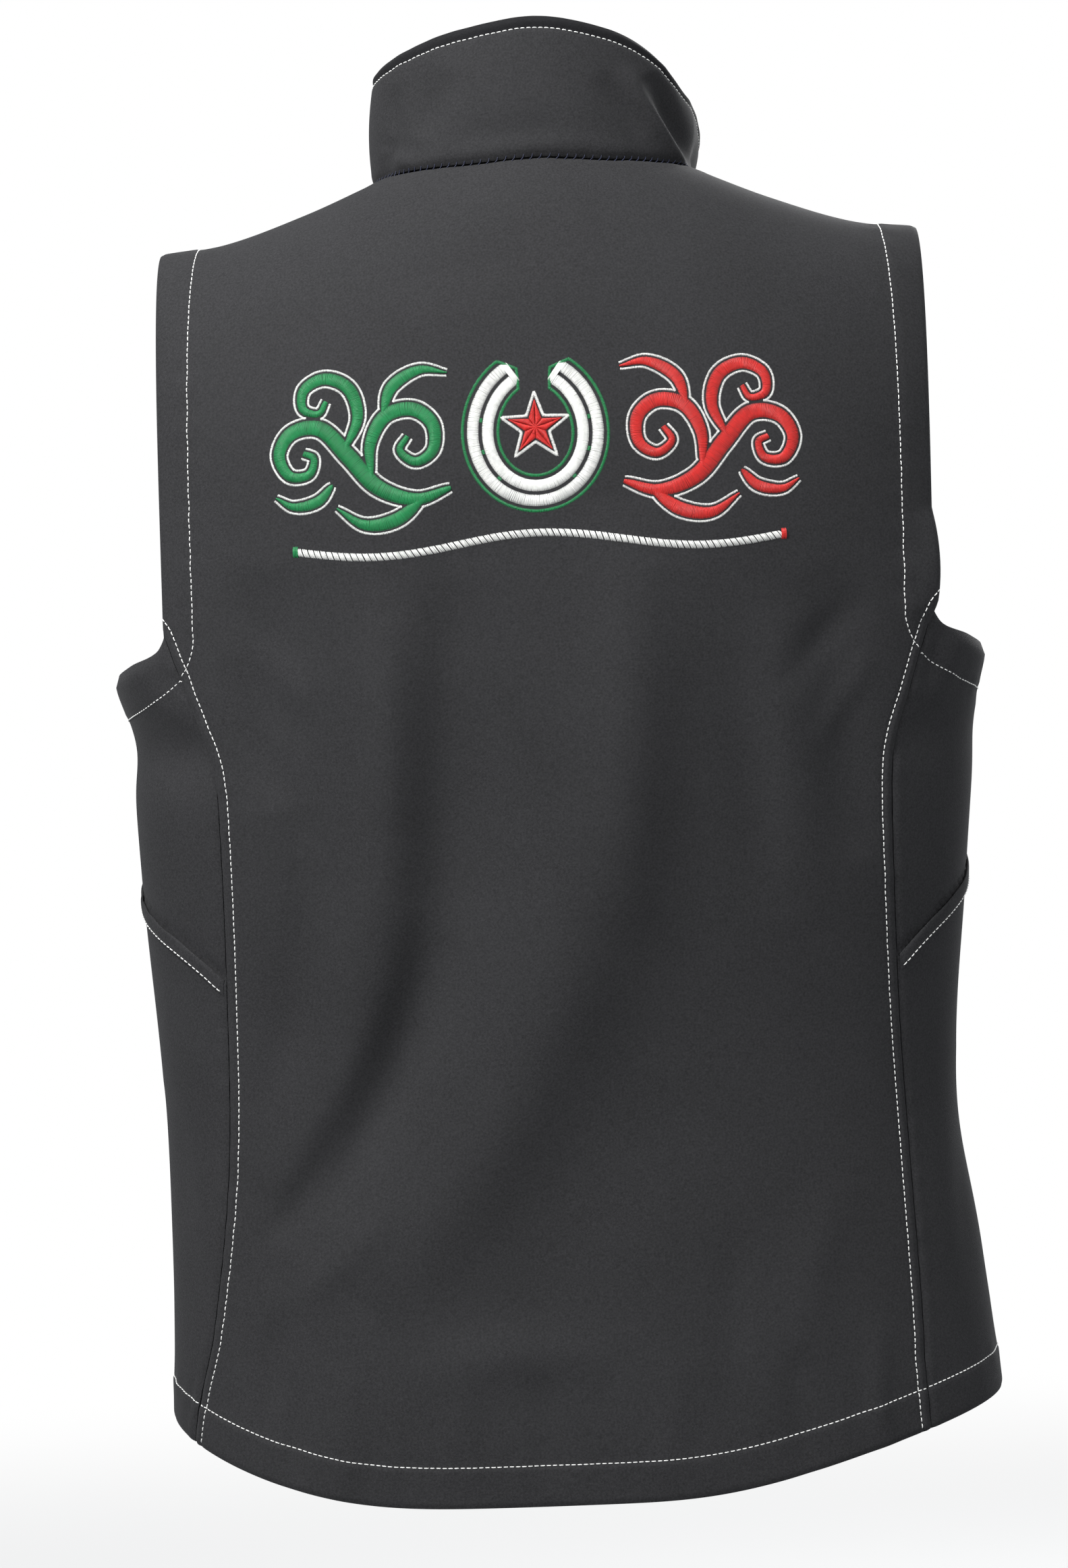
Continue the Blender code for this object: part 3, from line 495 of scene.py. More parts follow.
def frontLift(sign):
    def lift(base):
        total = foldLift(base, frontFolds, -1) + foldLift(base, sideFolds, 1, foldEdge["sideReach"])
        fromSeam, along = distanceTo(base, frontSeam[sign])
        total += plainSeamLift(fromSeam, along, 0.4 + sign)
        near, along = distanceTo(base, armhole[sign])
        total += bandLift(near, along, 3.1 + sign)
        flare = (bump(near, 0.0, underArm["reach"]) * fade(-base[:, 2], underArm["from"], underArm["full"])
                 * fade(fromSeam, 0.0, underArm["fromSeam"]))
        total += underArm["standOff"] * flare
        total += bandLift(*distanceTo(base, frontHem[sign]), 1.9 + sign)
        total += seamLift(*distanceTo(base, zipLine[sign]), 4 + sign)
        total -= welt["slit"] * bump(distanceTo(base, mouthLine[sign])[0], 0, welt["slitWide"])
        for line in (frontNeck[sign], frontShoulder[sign]):
            total += plainSeamLift(*distanceTo(base, line), 6 + sign)
        return total
    return lift


def stations(zones):
    # places along one way of a grid, from (end, spacing) zones
    places = [0.0]
    for end, spacing in zones:
        count = max(1, round((end - places[-1]) / spacing))
        start = places[-1]
        places += [start + (end - start) * k / count for k in range(1, count + 1)]
    return np.array(places)


def pieceFrom(shape, name, *finishes):
    # the shape as an object in the scene
    mesh = bpy.data.meshes.new(name)
    shape.to_mesh(mesh)
    shape.free()
    for finish in finishes:
        mesh.materials.append(finish)
    piece = bpy.data.objects.new(name, mesh)
    scene.collection.objects.link(piece)
    return piece


def sheetFrom(name, columnPlaces, rowPlaces, surface, finishes, keep=None):
    # open sheet on a grid of the given places, moved onto its surface
    columns, lines = len(columnPlaces) - 1, len(rowPlaces) - 1
    shape = bmesh.new()
    bmesh.ops.create_grid(shape, x_segments=columns, y_segments=lines, size=1.0)
    if keep:
        dropped = []
        for face in shape.faces:
            centre = face.calc_center_median()
            i, j = int((centre.x + 1) / 2 * columns), int((centre.y + 1) / 2 * lines)
            if not keep(columnPlaces[i], rowPlaces[j]):
                dropped.append(face)
        bmesh.ops.delete(shape, geom=dropped, context="FACES")
    piece = pieceFrom(shape, name, *finishes)
    mesh = piece.data
    flat = np.empty(len(mesh.vertices) * 3)
    mesh.vertices.foreach_get("co", flat)
    flat = flat.reshape(-1, 3)
    u = columnPlaces[np.rint((flat[:, 0] + 1) / 2 * columns).astype(int)]
    v = rowPlaces[np.rint((flat[:, 1] + 1) / 2 * lines).astype(int)]
    points, normals = surface(u, v)
    mesh.vertices.foreach_set("co", points.ravel())
    mesh.update()
    middle = mesh.polygons[len(mesh.polygons) // 2]
    if Vector(middle.normal).dot(Vector(normals[middle.vertices[0]])) < 0:
        mesh.flip_normals()
    mesh.shade_smooth()
    return piece


def thicken(piece, thickness, offset):
    wall = piece.modifiers.new("wall", "SOLIDIFY")
    wall.thickness = thickness
    wall.offset = offset
    return wall


def softenEdges(piece, width, segments, degrees):
    soft = piece.modifiers.new("softEdges", "BEVEL")
    soft.width = width
    soft.segments = segments
    soft.limit_method = "ANGLE"
    soft.angle_limit = math.radians(degrees)


def giveWall(piece, thickness, roundness, lined=True):
    # the cloth's wall behind its face, with the next finish on the inside where it is lined
    wall = thicken(piece, thickness, -1.0)
    wall.use_even_offset = False
    if lined:
        wall.material_offset = 1
    softenEdges(piece, roundness, 2, 50)
    return piece


print("stage: form ready")

# finishes
# the "facing" shade is painted shade: a darker copy of the cloth for the collar's rolled top edge
shades = {
    "cloth": (0.0262, 0.0260, 0.0275), "facing": (0.0100, 0.0100, 0.0112), "lining": (0.012, 0.012, 0.013),
    "tape": (0.010, 0.010, 0.011), "whiteThread": (0.86, 0.86, 0.83), "navyThread": (0.010, 0.014, 0.045),
    "greenThread": (0.010, 0.235, 0.070), "redThread": (0.62, 0.022, 0.018),
    "teeth": (0.014, 0.014, 0.015), "metal": (0.030, 0.030, 0.032),
}
relief = {"cloth": 0.0002, "thread": 0.0001, "hard": 0.0001}


def newGroup(name, inputs, outputs):
    group = bpy.data.node_groups.new(name, "ShaderNodeTree")
    for label, kind, value in inputs:
        socket = group.interface.new_socket(name=label, in_out="INPUT", socket_type=kind)
        if value is not None:
            socket.default_value = value
    for label, kind in outputs:
        group.interface.new_socket(name=label, in_out="OUTPUT", socket_type=kind)
    return group, group.nodes.new("NodeGroupInput"), group.nodes.new("NodeGroupOutput")


def mathNode(nodes, links, operation, first, second):
    node = nodes.new("ShaderNodeMath")
    node.operation = operation
    for socket, value in zip(node.inputs, (first, second)):
        if isinstance(value, (int, float)):
            socket.default_value = value
        else:
            links.new(value, socket)
    return node.outputs["Value"]


def noiseNode(nodes, links, vector, scale, detail=2.0, roughness=0.5):
    node = nodes.new("ShaderNodeTexNoise")
    node.inputs["Detail"].default_value = detail
    node.inputs["Roughness"].default_value = roughness
    links.new(vector, node.inputs["Vector"])
    if isinstance(scale, (int, float)):
        node.inputs["Scale"].default_value = scale
    else:
        links.new(scale, node.inputs["Scale"])
    return node.outputs["Fac"]


# fine knitted grain with soft patches, shared by the cloth, its lining and the tapes
grainGroup, grainIn, grainOut = newGroup(
    "clothGrain", [("Vector", "NodeSocketVector", None), ("Scale", "NodeSocketFloat", 1800.0)],
    [("Height", "NodeSocketFloat"), ("Patches", "NodeSocketFloat"), ("Speckle", "NodeSocketFloat")])
gn, gl = grainGroup.nodes, grainGroup.links
fine = noiseNode(gn, gl, grainIn.outputs["Vector"], grainIn.outputs["Scale"], 3.0, 0.6)
loops = gn.new("ShaderNodeTexVoronoi")
gl.new(grainIn.outputs["Vector"], loops.inputs["Vector"])
gl.new(grainIn.outputs["Scale"], loops.inputs["Scale"])
gl.new(mathNode(gn, gl, "ADD", fine, mathNode(gn, gl, "MULTIPLY", loops.outputs["Distance"], 0.6)),
       grainOut.inputs["Height"])
gl.new(noiseNode(gn, gl, grainIn.outputs["Vector"], 16.0, 4.0, 0.55), grainOut.inputs["Patches"])
gl.new(noiseNode(gn, gl, grainIn.outputs["Vector"], 900.0, 1.0, 0.5), grainOut.inputs["Speckle"])


def newMaterial(name, shade, roughness, **sockets):
    made = bpy.data.materials.new(name)
    made.use_nodes = True
    shader = made.node_tree.nodes["Principled BSDF"]
    shader.inputs["Base Color"].default_value = (*shade, 1.0)
    shader.inputs["Roughness"].default_value = roughness
    for label, value in sockets.items():
        shader.inputs[label.replace("_", " ")].default_value = value
    made.diffuse_color = (*shade, 1.0)
    return made, made.node_tree.nodes, made.node_tree.links, shader


def tintNode(nodes, links, factor, low, high):
    ramp = nodes.new("ShaderNodeValToRGB")
    ramp.color_ramp.elements[0].position, ramp.color_ramp.elements[1].position = 0.25, 0.75
    ramp.color_ramp.elements[0].color = (*low, 1.0)
    ramp.color_ramp.elements[1].color = (*high, 1.0)
    links.new(factor, ramp.inputs["Fac"])
    return ramp.outputs["Color"]


def bumpNode(nodes, links, height, strength, distance):
    node = nodes.new("ShaderNodeBump")
    node.inputs["Strength"].default_value = strength
    node.inputs["Distance"].default_value = distance
    links.new(height, node.inputs["Height"])
    return node.outputs["Normal"]


def clothMaterial(name, shade, roughness, scale, strength, sheen):
    made, nodes, links, shader = newMaterial(name, shade, roughness, Sheen_Weight=sheen, Sheen_Roughness=0.45,
                                             Specular_IOR_Level=0.16)
    grain = nodes.new("ShaderNodeGroup")
    grain.node_tree = grainGroup
    grain.inputs["Scale"].default_value = scale
    place = nodes.new("ShaderNodeTexCoord")
    links.new(place.outputs["Object"], grain.inputs["Vector"])
    tone = mathNode(nodes, links, "ADD", mathNode(nodes, links, "MULTIPLY", grain.outputs["Patches"], 0.3),
                    mathNode(nodes, links, "MULTIPLY", grain.outputs["Speckle"], 0.7))
    links.new(tintNode(nodes, links, tone, [c * 0.62 for c in shade], [c * 1.38 for c in shade]),
              shader.inputs["Base Color"])
    rough = mathNode(nodes, links, "ADD", mathNode(nodes, links, "MULTIPLY", grain.outputs["Patches"], 0.16),
                     roughness - 0.08)
    links.new(rough, shader.inputs["Roughness"])
    links.new(bumpNode(nodes, links, grain.outputs["Height"], strength, relief["cloth"]), shader.inputs["Normal"])
    return made


clothFinish = clothMaterial("softshellFace", shades["cloth"], 0.80, 1900.0, 0.45, 0.04)
# darker copy of the cloth, painted shade for the collar's rolled top edge
collarEdgeShadeFinish = clothMaterial("softshellPaintedShade", shades["facing"], 0.80, 1900.0, 0.45, 0.03)
liningFinish = clothMaterial("fleeceLining", shades["lining"], 0.95, 700.0, 0.9, 0.30)
tapeFinish = clothMaterial("wovenTape", shades["tape"], 0.80, 2600.0, 0.5, 0.10)


def threadMaterial(name, shade, roughness):
    made, nodes, links, shader = newMaterial(name, shade, roughness, Sheen_Weight=0.10, Sheen_Roughness=0.4)
    place = nodes.new("ShaderNodeTexCoord")
    fibre = noiseNode(nodes, links, place.outputs["Object"], 5200.0, 2.0)
    tone = noiseNode(nodes, links, place.outputs["Object"], 420.0, 2.0)
    links.new(tintNode(nodes, links, tone, [c * 0.84 for c in shade], [min(c * 1.10, 1) for c in shade]),
              shader.inputs["Base Color"])
    links.new(bumpNode(nodes, links, fibre, 0.35, relief["thread"]), shader.inputs["Normal"])
    return made


whiteThread = threadMaterial("whiteThread", shades["whiteThread"], 0.50)
navyThread = threadMaterial("navyThread", shades["navyThread"], 0.60)
greenThread = threadMaterial("greenThread", shades["greenThread"], 0.42)
redThread = threadMaterial("redThread", shades["redThread"], 0.42)


def hardMaterial(name, shade, roughness, metallic, scale):
    made, nodes, links, shader = newMaterial(name, shade, roughness)
    shader.inputs["Metallic"].default_value = metallic
    place = nodes.new("ShaderNodeTexCoord")
    worn = noiseNode(nodes, links, place.outputs["Object"], scale, 4.0)
    rough = mathNode(nodes, links, "ADD", mathNode(nodes, links, "MULTIPLY", worn, 0.25), roughness - 0.12)
    links.new(rough, shader.inputs["Roughness"])
    links.new(tintNode(nodes, links, worn, [c * 0.85 for c in shade], [c * 1.3 for c in shade]),
              shader.inputs["Base Color"])
    links.new(bumpNode(nodes, links, worn, 0.15, relief["hard"]), shader.inputs["Normal"])
    return made


teethFinish = hardMaterial("mouldedTeeth", shades["teeth"], 0.42, 0.0, 900.0)
metalFinish = hardMaterial("enamelledMetal", shades["metal"], 0.34, 0.85, 700.0)

# cloth pieces
clothCuts = {
    "back_cloth": {"flat": (0.43, 0.76), "area": 0.305, "wall": 0.0020, "roundness": 0.0006},
    "front_cloth": {"flat": (0.33, 0.74), "area": 0.208, "wall": 0.0020, "roundness": 0.0006},
    "collar_cloth": {"flat": (0.50, 0.082), "area": 0.034, "wall": 0.0030, "roundness": 0.0009},
}
bodyWall, collarWall = clothCuts["back_cloth"]["wall"], clothCuts["collar_cloth"]["wall"]

edgeFine = [(0.009, 0.0009), (0.018, 0.00225), (0.026, 0.0010)]
halfStations = stations(edgeFine + [(form["armholeHalf"], 0.0031)])
backSteps = np.interp(form["armholeHalf"] - halfStations, backBases, range(backHalf + 1))
backColumns = np.concatenate([backHalf - backSteps, (backHalf + backSteps[::-1])[1:]])
rowUnit = 0.0325  # metres of cloth per row of the solids' grid below the chest
lowerPlaces = stations([(0.004, 0.001), (0.018, 0.0028), (0.026, 0.0010), (lowerRows * rowUnit, 0.0034)])
lowerStations = lowerPlaces / rowUnit
upperReach = 0.270  # metres of cloth from the chest to the shoulder
upperPlaces = stations([(0.255, 0.0034), (0.267, 0.0012), (upperReach, 0.0010)])
upperStations = lowerRows + upperRows * (upperPlaces / upperReach) ** upperEase
backRows = np.concatenate([lowerStations, upperStations[1:]])

backSurface = surfaceOf(backPlain, backLift, outwardSign(backPlain, backHalf, 7, 1))
backCloth = sheetFrom("back_cloth", backColumns, backRows, backSurface, [clothFinish, liningFinish])
giveWall(backCloth, bodyWall, clothCuts["back_cloth"]["roundness"])
print("stage: back panel", len(backCloth.data.polygons))


def belowArmhole(u, v):
    return v < lowerRows - 1e-6 or u < armLine - 1e-6


frontSurface, frontCloth = {}, {}
# metres of cloth from the zip to the neck's end, from the zip to the arm's line and from there to the back seam
frontReach = {"neck": 0.086, "arm": 0.205, "side": 0.150}
zipToArm = stations([(0.009, 0.0010), (frontReach["arm"], 0.0035)])
armToSeam = stations([(0.140, 0.0034), (frontReach["side"], 0.0010)])
frontColumns = np.concatenate([
    np.interp(zipToArm, [0, frontReach["neck"], frontReach["arm"]], [0, frontNeckSteps, armLine]),
    armLine + sideSteps * (armToSeam / frontReach["side"])[1:]])
fineFrom = topRow - 0.3
frontUpper = np.linspace(lowerRows, fineFrom, 80)
frontRows = np.concatenate([lowerStations, frontUpper[1:], np.linspace(fineFrom, topRow, 9)[1:]])
for sign, side in ((1, "left"), (-1, "right")):
    plain = frontForm(sign)
    frontSurface[sign] = surfaceOf(plain, frontLift(sign), outwardSign(plain, 6, 7, -1))
    piece = sheetFrom("front_cloth_" + side, frontColumns, frontRows, frontSurface[sign],
                      [clothFinish, liningFinish], keep=belowArmhole)
    frontCloth[sign] = giveWall(piece, clothCuts["front_cloth"]["wall"], clothCuts["front_cloth"]["roundness"])
print("stage: fronts", len(frontCloth[1].data.polygons))

collarFolds = [
    (-0.069, 0.050, -0.079, 0.034, -0.104, -0.010, 0.0080, -0.0092),
    (-0.054, 0.054, -0.060, 0.034, -0.096, -0.014, 0.0048, 0.0040),
    (-0.100, 0.016, -0.108, -0.006, -0.098, -0.024, 0.0100, 0.0010),
    (-0.038, 0.047, -0.048, 0.036, -0.064, 0.014, 0.0062, -0.0024),
    (0.044, 0.054, 0.052, 0.036, 0.060, 0.018, 0.0095, -0.0022),
    (0.084, 0.016, 0.072, 0.022, 0.082, -0.002, 0.0038, -0.0020),
    (0.080, 0.008, 0.068, 0.010, 0.060, -0.004, 0.0050, 0.0014),
    (0.074, 0.050, 0.077, 0.030, 0.074, 0.010, 0.0050, -0.0022),
    (0.058, 0.058, 0.060, 0.035, 0.052, 0.012, 0.0075, -0.0012),
    (-0.020, 0.018, 0.010, 0.014, 0.040, 0.016, 0.0085, -0.0010),
    (0.078, 0.001, 0.000, 0.017, -0.078, 0.002, 0.0060, 0.0012),
]
# the last key says how far past the stitches the painted shade on the top edge reaches
collarEdge = {"stitchIn": 0.0072, "roll": 0.0010, "rollWide": 0.0018, "puff": 0.0005, "puffAt": 0.003,
              "puffWide": 0.002, "valley": 0.0006, "valleyWide": 0.0012, "pucker": 0.0003, "puckerWide": 0.007,
              "seamDip": 0.0006, "seamDipWide": 0.004, "paintedShadePast": 0.0002}
collarTop = collarPlain(np.linspace(0, 2 * collarHalf, 200), 1.0)
collarSeam = collarPlain(np.linspace(0, 2 * collarHalf, 200), 0.0)
collarEnd = {sign: collarPlain(collarHalf * (1 + sign), np.linspace(0, 1, 20)) for sign in (-1, 1)}


def collarLift(base):
    total = foldLift(base, collarFolds, 1, foldEdge["collarReach"])
    style = collarEdge
    near, along = distanceTo(base, collarTop)
    total += (-style["roll"] * bump(near, 0, style["rollWide"])
              + style["puff"] * bump(near, style["puffAt"], style["puffWide"])
              - style["valley"] * bump(near, style["stitchIn"], style["valleyWide"])
              + style["pucker"] * ripple(along, 2.7) * bump(near, style["stitchIn"], style["puckerWide"]))
    near, along = distanceTo(base, collarSeam)
    total += plainSeamLift(near, along, 0.9) - style["seamDip"] * bump(near, 0, style["seamDipWide"])
    for sign in (-1, 1):
        total += seamLift(*distanceTo(base, collarEnd[sign]), 2 + sign)
    return total


collarSurface = surfaceOf(collarPlain, collarLift, outwardSign(collarPlain, collarHalf, 0.5, 1))
halfCollar = stations([(0.4, 0.05), (float(collarHalf), 0.13)])
collarColumns = np.concatenate([halfCollar, (2 * collarHalf - halfCollar[::-1])[1:]])
collarRows = stations([(0.06, 0.015), (0.80, 0.032), (1.0, 0.0125)])
collarCloth = sheetFrom("collar_cloth", collarColumns, collarRows, collarSurface,
                        [clothFinish, liningFinish, collarEdgeShadeFinish])
# painted shade: a darker copy of the cloth along the top edge as far as the stitches, where the edge rolls away
faces = collarCloth.data.polygons
centres = np.empty(len(faces) * 3)
faces.foreach_get("center", centres)
near, _ = distanceTo(centres.reshape(-1, 3), collarTop)
isPaintedShade = near < collarEdge["stitchIn"] + collarEdge["paintedShadePast"]
faces.foreach_set("material_index", np.where(isPaintedShade, 2, 0).astype(np.int32))
giveWall(collarCloth, collarWall, clothCuts["collar_cloth"]["roundness"])
print("stage: collar", len(collarCloth.data.polygons))

for piece, node in ((backCloth, "back_panel"), (frontCloth[1], "front_left"), (frontCloth[-1], "front_right"),
                    (collarCloth, "collar")):
    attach(piece, "vest")
    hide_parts(node)

# seam allowances behind the seams
allowance = {"clear": 0.0004, "thick": 0.0006, "backCorner": 0.0026, "shoulderCorner": 0.0022, "neckCorner": 0.0034,
             "neckDrop": 0.0028}


def allowanceStrip(name, first, corner, second):
    # strip behind a seam, from three rows of points: one each side and one behind the seam itself
    count = len(first)

    def place(u, v):
        k = np.rint(u).astype(int)
        part = np.where(v[:, None] < 1, mix(first[k], corner[k], v[:, None]),
                        mix(corner[k], second[k], v[:, None] - 1))
        return part, np.tile([0.0, 0.0, 1.0], (len(u), 1))

    piece = sheetFrom(name, np.arange(count, dtype=float), np.linspace(0, 2, 9), place, [liningFinish])
    thicken(piece, allowance["thick"], 0.0)
    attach(piece, "vest")
    return piece


def innerRow(surface, u, v, wall):
    # places a little behind a wall of this thickness
    return surface(u, v, -(wall + allowance["clear"]))[0]


def collarColumn(u):
    # steps from the collar's middle, and the side that the place is on
    return np.abs(u - collarHalf), np.where(u >= collarHalf, 1, -1)


def backBelow(u, down, above):
    # the back this far below the collar's seam, at the collar's own columns
    step, side = collarColumn(u)
    return backSurface(backHalf + side * np.minimum(step, neckSteps), 0 * u + topRow - down, above)[0]


def frontsBelow(u, down, above):
    step, side = collarColumn(u)
    column, row = np.clip(collarHalf - step, 0, frontNeckSteps), 0 * u + topRow - down
    left, right = (frontSurface[sign](column, row, above)[0] for sign in (1, -1))
    return np.where((side > 0)[:, None], left, right)


for sign, side in ((1, "left"), (-1, "right")):
    v = np.linspace(0.25, lowerRows - 0.15, 150)
    edge = backHalf + sign * backHalf
    first = innerRow(backSurface, edge - sign * 0.5 + 0 * v, v, bodyWall)
    corner = innerRow(backSurface, edge + 0 * v, v, allowance["backCorner"])
    second = innerRow(frontSurface[sign], armLine + sideSteps - 0.5 + 0 * v, v, bodyWall)
    allowanceStrip("back_seam_allowance_" + side, first, corner, second)
    k = np.linspace(0.3, shoulderSteps - 0.3, 60)
    u = backHalf + sign * (neckSteps + k)
    first = innerRow(backSurface, u, 0 * k + topRow - 0.27, bodyWall)
    corner = innerRow(backSurface, u, 0 * k + topRow, allowance["shoulderCorner"])
    second = innerRow(frontSurface[sign], frontNeckSteps + k, 0 * k + topRow - 0.32, bodyWall)
    allowanceStrip("shoulder_seam_allowance_" + side, first, corner, second)

u = np.linspace(0.6, 2 * collarHalf - 0.6, 240)
behind = -(bodyWall + allowance["clear"])
step, _ = collarColumn(u)
under = mix(backBelow(u, 0.28, behind), frontsBelow(u, 0.3, behind),
            fade(step, neckSteps - 0.5, neckSteps + 0.5)[:, None])
above = innerRow(collarSurface, u, 0 * u + 0.13, collarWall)
corner = innerRow(collarSurface, u, 0 * u + 0.01, allowance["neckCorner"]) - [0, 0, allowance["neckDrop"]]
allowanceStrip("neck_seam_allowance", above, corner, under)
print("stage: seam allowances")

# topstitching
topstitch = {"pitch": 0.0033, "length": 0.0026, "thread": 0.00031, "sunk": -0.00030, "proud": 0.00020,
             "crown": 0.00006, "uneven": 0.00006}
# how far inward a stitch line is looked for, in steps of the grid
wayIn = {"seam": 1.2, "backBand": 2.4, "frontBand": 2.2, "underArm": 1.4, "zip": 0.8, "hem": 1.3, "collarTop": 0.3}


def insetPath(plain, starts, ways, line, distance):
    # from each start, the place along its way that lies this far from the line
    low, high = np.zeros(len(starts)), np.ones(len(starts))
    for _ in range(18):
        middle = (low + high) / 2
        at = starts + ways * middle[:, None]
        short = distanceTo(plain(at[:, 0], at[:, 1]), line)[0] < distance
        low, high = np.where(short, middle, low), np.where(short, high, middle)
    return starts + ways * middle[:, None]


def pathOf(u, v):
    u, v = gridOf(u, v)
    return np.stack([u, v], -1)


def stitchRun(path, surface, seed, facts=topstitch):
    # stitches at an even pitch along a path on a surface, each dipping in at both ends
    chance = np.random.default_rng(seed)
    points, _ = surface(path[:, 0], path[:, 1])
    reached = lengthsAlong(points)
    count = int(reached[-1] / facts["pitch"])
    starts = (np.arange(count) + 0.5) * reached[-1] / count - facts["length"] / 2
    starts = starts + chance.normal(0, facts["uneven"], count)
    rows = []
    for share, height in ((0.0, "sunk"), (0.22, "proud"), (0.5, "proud"), (0.78, "proud"), (1.0, "sunk")):
        at = starts + share * facts["length"]
        placed, _ = surface(np.interp(at, reached, path[:, 0]), np.interp(at, reached, path[:, 1]),
                            facts[height] + (facts["crown"] if share == 0.5 else 0))
        rows.append(placed)
    return np.stack(rows, 1)


def threadPiece(name, runs, finish, thread, sides):
    # every stitch as a short round thread, thinner at both ends, all in one mesh
    curve = bpy.data.curves.new(name, "CURVE")
    curve.dimensions = "3D"
    curve.bevel_depth = thread
    curve.bevel_resolution = sides
    curve.use_fill_caps = True
    for run in runs:
        places = np.ones((*run.shape[:2], 4))
        places[..., :3] = run
        radii = np.ones(run.shape[1])
        radii[0] = radii[-1] = 0.55
        for stitch in places:
            spline = curve.splines.new("POLY")
            spline.points.add(len(stitch) - 1)
            spline.points.foreach_set("co", stitch.ravel())
            spline.points.foreach_set("radius", radii)
    holder = bpy.data.objects.new(name + "_path", curve)
    scene.collection.objects.link(holder)
    mesh = bpy.data.meshes.new_from_object(holder.evaluated_get(bpy.context.evaluated_depsgraph_get()))
    bpy.data.objects.remove(holder)
    mesh.name = name
    mesh.shade_smooth()
    mesh.materials.clear()
    mesh.materials.append(finish)
    piece = bpy.data.objects.new(name, mesh)
    scene.collection.objects.link(piece)
    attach(piece, "vest")
    return piece


whiteRuns = {"back": [], "front_left": [], "front_right": [], "collar": []}
for sign, side in ((1, "left"), (-1, "right")):
    edge = backHalf + sign * backHalf
    v = np.linspace(0.06, lowerRows + 0.05, 260)
    path = insetPath(backPlain, pathOf(edge, v), pathOf(-sign * wayIn["seam"] + 0 * v, 0 * v), backSide[sign],
                     seamStyle["stitchIn"])
    whiteRuns["back"].append(stitchRun(path, backSurface, 11 + sign))
    v = np.concatenate([np.linspace(topRow - 0.04, lowerRows, 160),
                        np.linspace(lowerRows - 0.01, lowerRows - 1.35, 40)])
    path = insetPath(backPlain, pathOf(edge, v), pathOf(-sign * wayIn["backBand"] + 0 * v, 0 * v), armhole[sign],
                     bandStyle["stitchIn"])
    path = path[np.abs(path[:, 0] - edge) > 0.02]
    whiteRuns["back"].append(stitchRun(path, backSurface, 21 + sign))

    # round the front's armhole: down the arm's line, through the bend and along under the arm
    plain = frontForm(sign)
    down = np.linspace(topRow - 0.04, lowerRows + 0.4, 120)
    turn = np.linspace(0, math.pi / 2, 40)[1:-1]
    bend = pathOf(armLine + 0 * turn, lowerRows + 0.4 * (1 - turn / (math.pi / 2)))
    underneath = np.linspace(armLine + 0.05, armLine + sideSteps, 120)
    starts = np.concatenate([pathOf(armLine, down), bend, pathOf(underneath, lowerRows)])
    ways = np.concatenate([pathOf(-wayIn["frontBand"] + 0 * down, 0 * down),
                           pathOf(-wayIn["frontBand"] * np.cos(turn), -wayIn["underArm"] * np.sin(turn)),
                           pathOf(0 * underneath, -wayIn["underArm"] + 0 * underneath)])
    path = insetPath(plain, starts, ways, armhole[sign], bandStyle["stitchIn"])
    whiteRuns["front_" + side].append(stitchRun(path, frontSurface[sign], 31 + sign))
    v = np.linspace(0.25, topRow - 0.08, 300)
    path = insetPath(plain, pathOf(0, v), pathOf(wayIn["zip"] + 0 * v, 0 * v), zipLine[sign],
                     seamStyle["stitchIn"])
    whiteRuns["front_" + side].append(stitchRun(path, frontSurface[sign], 41 + sign))
    u = np.linspace(0.06, armLine + sideSteps - 0.02, 260)
    path = insetPath(plain, pathOf(u, 0), pathOf(0 * u, wayIn["hem"] + 0 * u), frontHem[sign], bandStyle["stitchIn"])
    whiteRuns["front_" + side].append(stitchRun(path, frontSurface[sign], 51 + sign))
    v = np.linspace(0.07, 0.91, 60)
    path = insetPath(collarPlain, pathOf(collarHalf * (1 + sign), v), pathOf(-sign * wayIn["seam"] + 0 * v, 0 * v),
                     collarEnd[sign], collarEdge["stitchIn"])
    whiteRuns["collar"].append(stitchRun(path, collarSurface, 61 + sign))
u = np.linspace(0.02, 2 * backHalf - 0.02, 300)
path = insetPath(backPlain, pathOf(u, 0), pathOf(0 * u, wayIn["hem"] + 0 * u), backHem, bandStyle["stitchIn"])
whiteRuns["back"].append(stitchRun(path, backSurface, 71))
u = np.linspace(0.42, 2 * collarHalf - 0.42, 320)
path = insetPath(collarPlain, pathOf(u, 1), pathOf(0 * u, -wayIn["collarTop"] + 0 * u), collarTop,
                 collarEdge["stitchIn"])
whiteRuns["collar"].append(stitchRun(path, collarSurface, 72))


# pocket welts on the fronts
def weltSurface(sign):
    # u runs 0 to 1 from the back seam forward, v 0 to 1 from the lower edge to the pocket's mouth
    def place(u, v, above=0.0):
        u, v = gridOf(u, v)
        across = mix(welt["first"], welt["steps"], u)
        height = mouthHeight(across) - welt["width"] * (1 - v)
        column = armLine + sideSteps - across
        share = np.clip(v, 0, 1)
        crown = (welt["crown"] * np.sin(math.pi * share)
                 + welt["wave"] * ripple(u * welt["waveLong"], 2 + sign) * share)
        crown = crown - welt["caught"] * (1 - fade(u, 0.0, welt["caughtReach"]))  # its end is in the back seam
        return frontSurface[sign](column, rowAtHeight(sign, column, height),
                                  welt["gap"] + welt["wall"] + crown + above)
    return place


